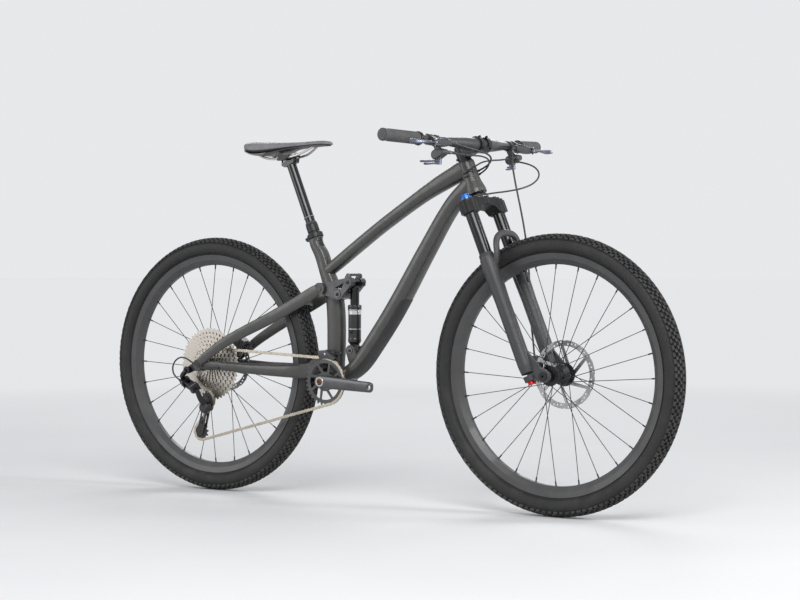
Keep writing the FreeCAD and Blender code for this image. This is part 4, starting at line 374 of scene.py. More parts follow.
@dataclass(frozen=True)
class Zone:
    """Part of a surface that has its own colour and gloss."""

    shape: ZoneShape
    origin: Spot
    low: float
    high: float
    colour: Colour
    metallic: float
    rough: float
    direction: Spot = (0.0, 0.0, 1.0)


@dataclass(frozen=True)
class Finish:
    """A finish of the bike, from its colours to its grain, wear and dust."""

    name: str
    colour: Colour
    shade: Colour
    metallic: float = 0.0
    rough: float = 0.5
    rough_span: float = 0.12
    grain: float = 0.0012
    speckle: float = 0.35
    relief: float = 0.00005
    worn: Colour = (0.32, 0.31, 0.3)
    wear: float = 0.25
    edge: float = 0.0006
    dust: float = 0.06
    coat: float = 0.0
    specular: float = 0.5
    turned: tuple[Spot, ...] = ()
    threads: tuple[Spot, ...] = ()
    zones: tuple[Zone, ...] = ()

    def build(self) -> bpy.types.Material:
        """Make the material of this finish, or return the one already made.

        Returns:
            The material.
        """
        if self.name in bpy.data.materials:
            return bpy.data.materials[self.name]
        material = bpy.data.materials.new(self.name)
        material.use_nodes = True
        material.node_tree.nodes.clear()
        wiring = Wiring(material.node_tree)
        grain = wiring.shared(Effects.grain(), {"Size": self.grain, "Speckle": self.speckle})
        colour = wiring.blend(grain.outputs["Tone"], (*self.colour, 1), (*self.shade, 1))
        metal: object = self.metallic
        rough = wiring.ramp(grain.outputs["Tone"], 0.0, 1.0, self.rough - self.rough_span / 2,
                            self.rough + self.rough_span / 2)
        for zone in self.zones:
            mask = self.zone_mask(wiring, zone)
            colour = wiring.blend(mask, colour, (*zone.colour, 1))
            metal = wiring.ramp(mask, 0.0, 1.0, metal, zone.metallic)
            rough = wiring.ramp(mask, 0.0, 1.0, rough, zone.rough)
        height = grain.outputs["Height"]
        if self.turned:
            marks = wiring.shared(Effects.turned(), {"Centre": self.turned[0]})
            height = wiring.math("MULTIPLY_ADD", marks.outputs["Height"], MARK_DEPTH, height)
            colour = wiring.blend(wiring.math("MULTIPLY", marks.outputs["Tone"], MARK_TONE), colour, (*self.shade, 1))
        if self.threads:
            threads = wiring.shared(Effects.cord_threads(), {"Centre": self.threads[0]})
            height = wiring.math("MULTIPLY_ADD", threads.outputs["Height"], THREAD_DEPTH, height)
        normal_from: dict = {}
        if self.wear > 0:
            wear = wiring.shared(Effects.wear(), {"Radius": self.edge, "Amount": self.wear})
            colour = wiring.blend(wear.outputs["Mask"], colour, (*self.worn, 1))
            normal_from = {"Normal": wear.outputs["Normal"]}
        if self.dust > 0:
            dust = wiring.shared(Effects.dust(), {"Amount": self.dust})
            colour = wiring.blend(dust.outputs["Mask"], colour, (*DUST_TONE, 1))
            dulled = wiring.math("MULTIPLY", dust.outputs["Mask"], DUST_ROUGHNESS)
            rough = wiring.math("ADD", rough, dulled, clamp=True)
        bump = wiring.put("ShaderNodeBump", {"Height": height, "Distance": self.relief, "Strength": 1.0,
                                             **normal_from})
        shader = wiring.put("ShaderNodeBsdfPrincipled", {
            "Base Color": colour, "Roughness": rough, "Metallic": metal, "Normal": bump.outputs[0],
            "Coat Weight": self.coat, "Specular IOR Level": self.specular})
        wiring.put("ShaderNodeOutputMaterial", {"Surface": shader.outputs[0]})
        return material

    @staticmethod
    def zone_mask(wiring: Wiring, zone: Zone) -> Socket:
        """Mask of a zone, from the group of its shape.

        Args:
            wiring: Wiring of the material.
            zone: The zone.

        Returns:
            The mask.
        """
        values = {"Origin": zone.origin, "Low": zone.low, "High": zone.high}
        if zone.shape is ZoneShape.RING:
            return wiring.shared(Effects.ring(), values).outputs["Mask"]
        return wiring.shared(Effects.band(), {**values, "Direction": zone.direction}).outputs["Mask"]


# ---------------------------------------------------------------- mesh making


def linked(name: str, data: bpy.types.ID) -> Object:
    """New object of some data, linked to the scene.

    Args:
        name: Name of the object.
        data: Mesh, curve, lamp or camera.

    Returns:
        The object.
    """
    piece = bpy.data.objects.new(name, data)
    bpy.context.scene.collection.objects.link(piece)
    return piece


def mesh_object(name: str, verts: Sequence[Vector | Point], faces: Sequence[Sequence[int]],
                smooth: bool = True) -> Object:
    """A mesh object at the origin, with its faces pointing outwards.

    Args:
        name: Name of the piece.
        verts: Its points.
        faces: Point numbers of each face.
        smooth: Whether the faces shade as one curved surface.

    Returns:
        The object, linked to the scene.
    """
    mesh = bpy.data.meshes.new(name)
    mesh.from_pydata([tuple(v) for v in verts], [], [tuple(f) for f in faces])
    work = bmesh.new()
    work.from_mesh(mesh)
    bmesh.ops.remove_doubles(work, verts=work.verts, dist=WELD_DISTANCE)
    bmesh.ops.recalc_face_normals(work, faces=work.faces)
    for face in work.faces:
        face.smooth = smooth
    work.to_mesh(mesh)
    work.free()
    return linked(name, mesh)


def square_frame(axis: Vector) -> tuple[Vector, Vector]:
    """Two directions square to an axis and to each other.

    Args:
        axis: The axis.

    Returns:
        The two directions.
    """
    axis = axis.normalized()
    helper = Vector((0, 0, 1)) if abs(axis.z) < 0.8 else Vector((1, 0, 0))
    first = axis.cross(helper).normalized()
    return first, axis.cross(first).normalized()


def lofted(name: str, rings: Sequence[Sequence[Vector]], smooth: bool = True,
           looped: bool = False) -> Object:
    """Skin over rings of equally many points.

    Args:
        name: Name of the piece.
        rings: Points of each ring, in order round it.
        smooth: Whether the faces shade as one curved surface.
        looped: Whether the last ring joins the first, in place of two flat ends.

    Returns:
        The piece.
    """
    count = len(rings[0])
    verts = [point for ring in rings for point in ring]
    faces = []
    for r in range(len(rings) if looped else len(rings) - 1):
        following = (r + 1) % len(rings)
        for i in range(count):
            j = (i + 1) % count
            faces.append((r * count + i, r * count + j, following * count + j, following * count + i))
    if not looped:
        faces.append(tuple(range(count)))
        faces.append(tuple((len(rings) - 1) * count + i for i in range(count)))
    return mesh_object(name, verts, faces, smooth)


def turned_piece(name: str, centre: Vector, axis: Vector, profile: Sequence[tuple[float, float]],
                 steps: int = 40) -> Object:
    """Closed outline of (radius, height) pairs turned about an axis.

    Args:
        name: Name of the piece.
        centre: Point on the axis from which heights are measured.
        axis: Direction of the axis.
        profile: Radius and height of each corner, in order round the outline.
        steps: Number of flats round the axis.

    Returns:
        The piece.
    """
    across, beside = square_frame(axis)
    axis = axis.normalized()
    rings = []
    for i in range(steps):
        angle = TAU * i / steps
        spoke = across * math.cos(angle) + beside * math.sin(angle)
        rings.append([centre + axis * height + spoke * max(radius, THINNEST) for radius, height in profile])
    piece = lofted(name, rings, smooth=False, looped=True)
    shade_by_angle(piece)
    return piece


def rounded_ring(centre: Vector, across: Vector, up: Vector, power: float, count: int) -> list[Vector]:
    """Ring between an ellipse and a box.

    Args:
        centre: Middle of the ring.
        across: Half of its width, as a vector.
        up: Half of its height, as a vector.
        power: One for an ellipse; the corners fill as it falls.
        count: Number of points.

    Returns:
        The points in order.
    """
    points = []
    for i in range(count):
        c, s = math.cos(TAU * i / count), math.sin(TAU * i / count)
        points.append(centre + across * math.copysign(abs(c) ** power, c) + up * math.copysign(abs(s) ** power, s))
    return points


def spline_object(name: str, kind: str, points: Sequence[Spot], depth: float, facets: int) -> Object:
    """Curve object of one open spline.

    Args:
        name: Name of the object.
        kind: POLY for straight runs, NURBS for one smooth curve.
        points: Its points or control points.
        depth: Radius of the tube round it; 0 leaves it bare.
        facets: Fineness of the tube.

    Returns:
        The object.
    """
    data = bpy.data.curves.new(name, "CURVE")
    data.dimensions = "3D"
    data.resolution_u = 14
    data.bevel_depth = depth
    data.bevel_resolution = facets
    data.use_fill_caps = depth > 0
    spline = data.splines.new(kind)
    spline.points.add(len(points) - 1)
    for knot, point in zip(spline.points, points):
        knot.co = (*point, 1.0)
    spline.order_u = 3
    spline.use_endpoint_u = True
    return linked(name, data)


def plain_tube(curve: Object, name: str) -> Object:
    """Smooth mesh of a curve object, with no material.

    Args:
        curve: The curve object.
        name: Name of the piece.

    Returns:
        The piece.
    """
    piece = frozen(curve, name)
    for polygon in piece.data.polygons:
        polygon.use_smooth = True
    piece.data.materials.clear()
    return piece


def shade_by_angle(piece: Object, degrees: float = 35.0) -> None:
    """Smooth the gentle edges of a piece and leave its corners crisp.

    Args:
        piece: The piece.
        degrees: Angle above which an edge stays crisp.
    """
    for polygon in piece.data.polygons:
        polygon.use_smooth = True
    piece.data.set_sharp_from_angle(angle=math.radians(degrees))


def merged(name: str, pieces: Sequence[Object]) -> Object:
    """One mesh object made of several, which are removed.

    Args:
        name: Name of the whole.
        pieces: The mesh objects.

    Returns:
        The whole.
    """
    verts, faces = [], []
    for piece in pieces:
        start = len(verts)
        verts.extend(v.co.copy() for v in piece.data.vertices)
        faces.extend(tuple(start + i for i in p.vertices) for p in piece.data.polygons)
    mesh = bpy.data.meshes.new(name)
    mesh.from_pydata([tuple(v) for v in verts], [], faces)
    whole = linked(name, mesh)
    for piece in pieces:
        old = piece.data
        bpy.data.objects.remove(piece)
        bpy.data.meshes.remove(old)
    shade_by_angle(whole)
    return whole


def frozen(piece: Object, name: str | None = None) -> Object:
    """Plain mesh of an object with its modifiers applied; the first object is removed.

    Args:
        piece: The object.
        name: Name of the result; its own by default.

    Returns:
        The plain mesh object.
    """
    bpy.context.view_layer.update()
    evaluated = piece.evaluated_get(bpy.context.evaluated_depsgraph_get())
    mesh = bpy.data.meshes.new_from_object(evaluated)
    name = name or piece.name
    old = piece.data
    bpy.data.objects.remove(piece)
    if old.users == 0 and isinstance(old, bpy.types.Mesh):
        bpy.data.meshes.remove(old)
    mesh.name = name
    return linked(name, mesh)


def softened(piece: Object, width: float) -> Object:
    """The piece with its sharper edges rounded.

    Args:
        piece: A finished mesh.
        width: Width of the rounding.

    Returns:
        The rounded piece.
    """
    bevel = piece.modifiers.new("rounding", "BEVEL")
    bevel.width = width
    bevel.segments = 2
    bevel.limit_method = "ANGLE"
    bevel.angle_limit = math.radians(40)
    piece = frozen(piece)
    shade_by_angle(piece)
    return piece


def dress(piece: Object, finish: Finish, body: str) -> None:
    """Give a piece its finish and set it on its body.

    Args:
        piece: A finished mesh at the origin.
        finish: Its finish.
        body: Body it rides on.
    """
    piece.data.materials.clear()
    piece.data.materials.append(finish.build())
    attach(piece, body)
    LOG.info("%s rides on %s", piece.name, body)


def dress_turned(name: str, finish: Finish, body: str, centre: Vector, axis: Vector,
                 profile: Sequence[tuple[float, float]], steps: int = 48) -> None:
    """Make a turned piece and dress it; the profile is as for turned_piece."""
    dress(turned_piece(name, centre, axis, profile, steps), finish, body)


def paint(finish: Finish, *nodes: str) -> None:
    """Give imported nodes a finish.

    Args:
        finish: The finish.
        nodes: Names of the nodes.
    """
    material = finish.build()
    for node in nodes:
        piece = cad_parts[node]
        for place in range(len(piece.data.materials)):
            piece.data.materials[place] = material
        if not piece.data.materials:
            piece.data.materials.append(material)
        LOG.info("%s is finished in %s", node, finish.name)


def held(share: float) -> float:
    """A share kept between 0 and 1."""
    return max(0.0, min(1.0, share))


def middle(node: str) -> Vector:
    """Middle of a node's box."""
    low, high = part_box(node)
    return (low + high) / 2


# ---------------------------------------------------------------- repeats


class Repeater:
    """Geometry Nodes trees that repeat a small mesh, each built once."""

    def __init__(self) -> None:
        """Build the two trees."""
        self.round_tree = self.build_round()
        self.place_tree = self.build_places()

    @staticmethod
    def new_tree(name: str, inputs: Sequence[tuple[str, str]]) -> tuple[Wiring, Node, Node]:
        """An empty tree with geometry in and out and the given inputs.

        Args:
            name: Name of the tree.
            inputs: Name and kind of each further input.

        Returns:
            The wiring, the input node and the output node.
        """
        tree = bpy.data.node_groups.new(name, "GeometryNodeTree")
        tree.interface.new_socket("Geometry", in_out="INPUT", socket_type="NodeSocketGeometry")
        for label, kind in inputs:
            tree.interface.new_socket(label, in_out="INPUT", socket_type="NodeSocket" + kind)
        tree.interface.new_socket("Geometry", in_out="OUTPUT", socket_type="NodeSocketGeometry")
        return Wiring(tree), tree.nodes.new("NodeGroupInput"), tree.nodes.new("NodeGroupOutput")

    @staticmethod
    def close(wiring: Wiring, geometry: Socket, start: Node, end: Node) -> None:
        """Realize the instances, set their material and hand them out.

        Args:
            wiring: Wiring of the tree.
            geometry: The instances.
            start: Input node.
            end: Output node.
        """
        real = wiring.put("GeometryNodeRealizeInstances", {"Geometry": geometry})
        painted = wiring.put("GeometryNodeSetMaterial", {"Geometry": real.outputs[0],
                                                         "Material": start.outputs["Material"]})
        wiring.tree.links.new(painted.outputs[0], end.inputs[0])

    def build_round(self) -> Tree:
        """Tree that repeats its mesh evenly round an axis.

        Returns:
            The tree.
        """
        wiring, start, end = self.new_tree("repeat_round_axis", [
            ("Count", "Int"), ("Centre", "Vector"), ("Axis", "Vector"), ("Material", "Material")])
        points = wiring.put("GeometryNodePoints", {"Count": start.outputs["Count"]})
        step = wiring.math("DIVIDE", TAU, start.outputs["Count"])
        angle = wiring.math("MULTIPLY", wiring.put("GeometryNodeInputIndex").outputs[0], step)
        turn = wiring.put("FunctionNodeAxisAngleToRotation", {"Axis": start.outputs["Axis"], "Angle": angle})
        back = wiring.vector("SCALE", start.outputs["Centre"])
        back.node.inputs["Scale"].default_value = -1.0
        item = wiring.put("GeometryNodeTransform", {"Geometry": start.outputs["Geometry"], "Translation": back})
        placed = wiring.put("GeometryNodeInstanceOnPoints", {"Points": points.outputs[0],
                                                             "Instance": item.outputs[0], "Rotation": turn.outputs[0]})
        moved = wiring.put("GeometryNodeTransform", {"Geometry": placed.outputs[0],
                                                     "Translation": start.outputs["Centre"]})
        self.close(wiring, moved.outputs[0], start, end)
        return wiring.tree

    def build_places(self) -> Tree:
        """Tree that sets its mesh at each point of a second object, turned and sized by its attributes.

        Returns:
            The tree.
        """
        wiring, start, end = self.new_tree("repeat_at_places", [("Places", "Object"), ("Material", "Material")])
        places = wiring.put("GeometryNodeObjectInfo", {"Object": start.outputs["Places"]})
        facing = wiring.put("GeometryNodeInputNamedAttribute", {"Name": "facing"}, data_type="FLOAT_VECTOR")
        size = wiring.put("GeometryNodeInputNamedAttribute", {"Name": "size"}, data_type="FLOAT_VECTOR")
        turn = wiring.put("FunctionNodeAlignRotationToVector", {"Vector": facing.outputs[0]}, axis="Z")
        placed = wiring.put("GeometryNodeInstanceOnPoints", {
            "Points": places.outputs["Geometry"], "Instance": start.outputs["Geometry"],
            "Rotation": turn.outputs[0], "Scale": size.outputs[0]})
        self.close(wiring, placed.outputs[0], start, end)
        return wiring.tree

    @staticmethod
    def run(item: Object, tree: Tree, values: dict[str, object]) -> Object:
        """Apply a tree to an item with its inputs set by identifier.

        Args:
            item: The item, which is used up.
            tree: The tree.
            values: Value of each input by name.

        Returns:
            The result as one plain mesh.
        """
        modifier = item.modifiers.new("repeat", "NODES")
        modifier.node_group = tree
        for socket in tree.interface.items_tree:
            if socket.item_type == "SOCKET" and socket.in_out == "INPUT" and socket.name in values:
                modifier[socket.identifier] = values[socket.name]
        result = frozen(item)
        shade_by_angle(result)
        return result

    def around(self, item: Object, count: int, centre: Vector, axis: Vector,
               finish: Finish) -> Object:
        """Copies of an item evenly round an axis, as one mesh."""
        return self.run(item, self.round_tree, {"Count": count, "Centre": list(centre),
                                                "Axis": list(axis.normalized()), "Material": finish.build()})

    def at_places(self, item: Object, places: Sequence["Place"], finish: Finish) -> Object:
        """Copies of an item at several places, as one mesh.

        Args:
            item: The item, which is used up.
            places: Where the copies go.
            finish: Their finish.

        Returns:
            The piece.
        """
        mesh = bpy.data.meshes.new("places")
        mesh.from_pydata([tuple(p.point) for p in places], [], [])
        for label, values in (("facing", [p.facing for p in places]), ("size", [p.size for p in places])):
            attribute = mesh.attributes.new(label, "FLOAT_VECTOR", "POINT")
            attribute.data.foreach_set("vector", [c for value in values for c in value])
        holder = linked("places", mesh)
        result = self.run(item, self.place_tree, {"Places": holder, "Material": finish.build()})
        bpy.data.objects.remove(holder)
        bpy.data.meshes.remove(mesh)
        return result


@dataclass(frozen=True)
class Place:
    """Where a repeated item sits, which way its top faces and its size on each axis."""

    point: Spot
    facing: Spot
    size: Point


REPEATER = Repeater()


def unit_bolt(name: str) -> Object:
    """Socket-head bolt of unit radius and unit height, standing on the origin along Z.

    Args:
        name: Name of the piece.

    Returns:
        The piece.
    """
    profile = ((1.0, -0.4), (1.0, 0.72), (0.86, 1.0), (0.62, 1.0))
    steps = 24
    rings = [[Vector((r * math.cos(TAU * i / steps), r * math.sin(TAU * i / steps), z)) for i in range(steps)]
             for r, z in profile]
    socket = []
    for depth in (1.0, 0.35):
        ring = []
        for i in range(steps):
            angle = TAU * i / steps
            reach = 0.48 / math.cos((angle % (TAU / 6)) - TAU / 12)
            ring.append(Vector((reach * math.cos(angle), reach * math.sin(angle), depth)))
        socket.append(ring)
    piece = lofted(name, rings + socket, smooth=False)
    shade_by_angle(piece, 30)
    return piece


def both_sides(x: float, y: float, z: float, radius: float, height: float) -> list[BoltPlace]:
    """Places of two bolts that face outwards, one on each side of the bike."""
    return [((x, side.value * y, z), side.out, radius, height) for side in Side]


def bolts(name: str, body: str, finish: Finish, places: Sequence[BoltPlace]) -> None:
    """Socket-head bolts on one body, from the seat, direction, head radius and head height of each."""
    spots = [Place(point, facing, (radius, radius, height)) for point, facing, radius, height in places]
    dress(REPEATER.at_places(unit_bolt(name), spots, finish), finish, body)


# ---------------------------------------------------------------- places on the bike


@dataclass(frozen=True)
class Lean:
    """A leaning axis of the bike in its middle plane."""

    origin: Vector
    degrees: float

    @property
    def up(self) -> Vector:
        """Direction up along the axis."""
        angle = math.radians(self.degrees)
        return Vector((-math.cos(angle), 0, math.sin(angle)))

    @property
    def forward(self) -> Vector:
        """Direction ahead, square to the axis."""
        angle = math.radians(self.degrees)
        return Vector((math.sin(angle), 0, math.cos(angle)))

    def at(self, along: float, forward: float = 0.0, side: float = 0.0) -> Vector:
        """Point at a height along the axis, ahead of it and to its left."""
        return self.origin + self.up * along + self.forward * forward + Vector((0, side, 0))


def steering_axis() -> Lean:
    """The steering axis, which passes behind the front axle by the fork's offset."""
    return Lean(FRONT_HUB - Lean(Vector(), ANGLE).forward * FORK_OFFSET, ANGLE)


ANGLE = 67.5
FORK_OFFSET = 0.044
FRONT_HUB = middle("front_rim")
REAR_HUB = middle("rear_rim")
STEER = steering_axis()
SEAT = Lean(Vector((-0.2068, 0, 0.730)), ANGLE)
SPOKES = 28
BRACKET = Vector((-0.138, 0, 0.332))
SIDEWAYS = Vector((0, 1, 0))
BAR_SEAT, BAR_END, STEM_REACH, BAR_ALONG = 0.034, 0.375, 0.06, 0.648
BACKSWEEP, UPSWEEP = math.tan(math.radians(9)), math.tan(math.radians(2))
SADDLE_SEAT = SEAT.at(0.248)
SHOCK_FOOT, SHOCK_HEAD = Vector((-0.074, 0, 0.418)), Vector((-0.0725, 0, 0.607))
SHOCK_AXIS = (SHOCK_HEAD - SHOCK_FOOT).normalized()


def spoke_way(angle: float) -> Vector:
    """Direction at an angle round a sideways axis, from straight ahead over the top."""
    return Vector((math.cos(angle), 0, math.sin(angle)))


def bar_point(distance: float, side: Side) -> Vector:
    """Point on the handlebar's centre line at a distance out from the middle."""
    out = max(0.0, distance - BAR_SEAT)
    return STEER.at(BAR_ALONG, STEM_REACH) + Vector((-out * BACKSWEEP, side.value * distance, out * UPSWEEP))


def bar_direction(side: Side) -> Vector:
    """Direction outwards along one end of the handlebar."""
    return (bar_point(0.3, side) - bar_point(0.2, side)).normalized()


# ---------------------------------------------------------------- the finishes of this bike


CARBON = Finish("frame_matte_grey", (0.052, 0.05, 0.047), (0.036, 0.035, 0.033), rough=0.4, grain=0.0007,
                relief=0.000015, wear=0.12, edge=0.0012, coat=0.22, speckle=0.25)
PIVOT = Finish("pivot_satin_grey", (0.16, 0.16, 0.165), (0.1, 0.1, 0.104), metallic=0.85, rough=0.36, wear=0.3)
BLACK_ALLOY = Finish("black_anodised", (0.022, 0.022, 0.024), (0.03, 0.03, 0.032), metallic=0.6, rough=0.38,
                     wear=0.3)
HARD_BLACK = Finish("hard_black_coating", (0.014, 0.014, 0.015), (0.02, 0.02, 0.021), metallic=0.75, rough=0.16,
                    rough_span=0.08, wear=0.05, dust=0.03, coat=0.4)
CROWN = Finish("crown_black", (0.024, 0.024, 0.026), (0.034, 0.034, 0.037), metallic=0.5, rough=0.34, wear=0.25)
MAGNESIUM = Finish("lowers_matte_grey", (0.04, 0.04, 0.042), (0.028, 0.028, 0.03), rough=0.46, grain=0.0009,
                   relief=0.00003, wear=0.18, edge=0.001)
SEAL = Finish("seal_rubber", (0.02, 0.02, 0.02), (0.03, 0.03, 0.03), rough=0.6, wear=0.0, dust=0.2)
BAR = Finish("bar_satin_black", (0.024, 0.024, 0.025), (0.034, 0.034, 0.035), rough=0.4, wear=0.12, coat=0.1)
GRIP = Finish("grip_rubber_grey", (0.085, 0.085, 0.087), (0.055, 0.055, 0.057), rough=0.72, grain=0.0016,
              relief=0.00018, wear=0.1, dust=0.1)
CONTROL = Finish("control_black", (0.026, 0.027, 0.03), (0.04, 0.041, 0.046), metallic=0.35, rough=0.36, wear=0.3)
LEVER = Finish("lever_satin", (0.1, 0.112, 0.145), (0.15, 0.165, 0.205), metallic=0.8, rough=0.3, wear=0.35)
CABLE = Finish("cable_jacket", (0.016, 0.016, 0.016), (0.026, 0.026, 0.026), rough=0.42, relief=0.00004,
               wear=0.0, dust=0.05)
BLUE = Finish("blue_anodised", (0.035, 0.1, 0.3), (0.025, 0.07, 0.22), metallic=0.8, rough=0.28, wear=0.1,
              worn=(0.4, 0.45, 0.6))
RED = Finish("red_anodised", (0.28, 0.014, 0.014), (0.2, 0.01, 0.01), metallic=0.75, rough=0.3, wear=0.1,
             worn=(0.6, 0.3, 0.3))
TREAD = Finish("tread_rubber", (0.02, 0.02, 0.02), (0.03, 0.0295, 0.029), rough=0.62, grain=0.0015,
               relief=0.0001, wear=0.5, worn=(0.12, 0.118, 0.115), dust=0.12, specular=0.35)
RIM = Finish("rim_carbon", (0.05, 0.05, 0.051), (0.036, 0.036, 0.037), rough=0.42, grain=0.0016, relief=0.00003,
             wear=0.06, coat=0.15)
SPOKE = Finish("spoke_black", (0.03, 0.03, 0.031), (0.05, 0.05, 0.051), metallic=0.8, rough=0.28, wear=0.0,
               dust=0.02)
HUB = Finish("hub_black", (0.028, 0.028, 0.03), (0.042, 0.042, 0.044), metallic=0.7, rough=0.32, wear=0.3)
STEEL = Finish("bright_steel", (0.5, 0.5, 0.5), (0.36, 0.36, 0.37), metallic=1.0, rough=0.3, wear=0.2,
               worn=(0.7, 0.7, 0.7))
CHAIN = Finish("chain_champagne", (0.52, 0.47, 0.39), (0.36, 0.32, 0.26), metallic=1.0, rough=0.3, grain=0.001,
               wear=0.2, worn=(0.66, 0.62, 0.55), dust=0.08)
CRANK = Finish("crank_dark_grey", (0.075, 0.075, 0.08), (0.1, 0.1, 0.106), metallic=0.7, rough=0.3, wear=0.35,
               edge=0.0012, coat=0.15)
CHAINRING = Finish("chainring_grey", (0.07, 0.07, 0.072), (0.1, 0.1, 0.102), metallic=0.8, rough=0.34, wear=0.4,
                   worn=(0.35, 0.34, 0.33))
DERAILLEUR = Finish("derailleur_black", (0.034, 0.034, 0.038), (0.055, 0.055, 0.06), metallic=0.7, rough=0.3,
                    wear=0.45, worn=(0.4, 0.4, 0.41))
RESIN = Finish("pulley_resin", (0.022, 0.022, 0.022), (0.034, 0.034, 0.034), rough=0.5, wear=0.3)
ROCKER = Finish("rocker_satin_grey", (0.095, 0.095, 0.098), (0.066, 0.066, 0.069), metallic=0.75, rough=0.36,
                wear=0.3, edge=0.001)
TITANIUM = Finish("rail_titanium", (0.3, 0.29, 0.275), (0.22, 0.21, 0.2), metallic=1.0, rough=0.3, wear=0.0)
BRONZE = Finish("dark_copper", (0.16, 0.055, 0.03), (0.1, 0.036, 0.022), metallic=0.7, rough=0.4, wear=0.1)
GUARD = Finish("guard_rubber", (0.034, 0.034, 0.035), (0.024, 0.024, 0.025), rough=0.58, grain=0.002,
               relief=0.00012, wear=0.15, dust=0.1, specular=0.35)
# Painted shade: near-black copy of the saddle cover, for its faces that look downwards.
SADDLE_UNDERSIDE_SHADE = Finish("saddle_side_panel", (0.03, 0.03, 0.031), (0.02, 0.02, 0.021), rough=0.58, grain=0.0016,
                    relief=0.00014, speckle=0.6, wear=0.0, dust=0.04, specular=0.35)
# Pale colour for the dropper's travel ring and for the painted highlight along the saddle's tail edge.
PALE_TRIM_AND_HIGHLIGHT = Finish("pale_moulding", (0.3, 0.3, 0.31), (0.22, 0.22, 0.23), rough=0.4, wear=0.1)


def rotor_finish(name: str, hub: Vector) -> Finish:
    """Ground steel track and arms with a dark carrier in the middle.

    Args:
        name: Name of the finish.
        hub: Middle of the hub.

    Returns:
        The finish.
    """
    centre = hub
    return Finish(name, (0.46, 0.46, 0.47), (0.34, 0.34, 0.35), metallic=1.0, rough=0.3, turned=(centre,),
                  relief=0.00003, wear=0.1, worn=(0.8, 0.8, 0.8), dust=0.02,
                  zones=(Zone(ZoneShape.RING, centre, 0.0, 0.0312, (0.03, 0.03, 0.032), 0.7, 0.35),))


def casing_finish(name: str, hub: Vector) -> Finish:
    """Tyre casing with slanted threads and moulded lines."""
    return Finish(name, (0.017, 0.017, 0.017), (0.026, 0.026, 0.026), rough=0.54, relief=0.00008, wear=0.0,
                  dust=0.07, specular=0.32, threads=(hub,))


def cassette_finish() -> Finish:
    """Largest cog black, silver ones in the middle and warm small ones.

    Returns:
        The finish.
    """
    low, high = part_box("cassette")
    span = high.y - low.y
    origin = (REAR_HUB.x, low.y, REAR_HUB.z)
    side = (0.0, 1.0, 0.0)
    return Finish("cassette_steel", (0.42, 0.41, 0.39), (0.3, 0.29, 0.28), metallic=1.0, rough=0.32,
                  turned=(origin,), relief=0.00003, wear=0.35, worn=(0.62, 0.6, 0.56), dust=0.05, zones=(
                      Zone(ZoneShape.BAND, origin, -0.01, span * 0.36, (0.36, 0.28, 0.19), 1.0, 0.32, side),
                      Zone(ZoneShape.BAND, origin, span * 0.87, span + 0.01, (0.045, 0.045, 0.047), 0.8, 0.36, side),
                  ))


def shock_finish() -> Finish:
    """Polished black can with two bright bands.

    Returns:
        The finish.
    """
    silver = (0.6, 0.6, 0.61)
    return Finish("shock_can_black", (0.02, 0.02, 0.021), (0.03, 0.03, 0.031), metallic=0.4, rough=0.22, wear=0.15,
                  coat=0.3, zones=tuple(Zone(ZoneShape.BAND, SHOCK_FOOT, low, high, silver, 1.0, 0.24, SHOCK_AXIS)
                                        for low, high in ((0.1, 0.1135), (0.0585, 0.0605))))


# ---------------------------------------------------------------- studio


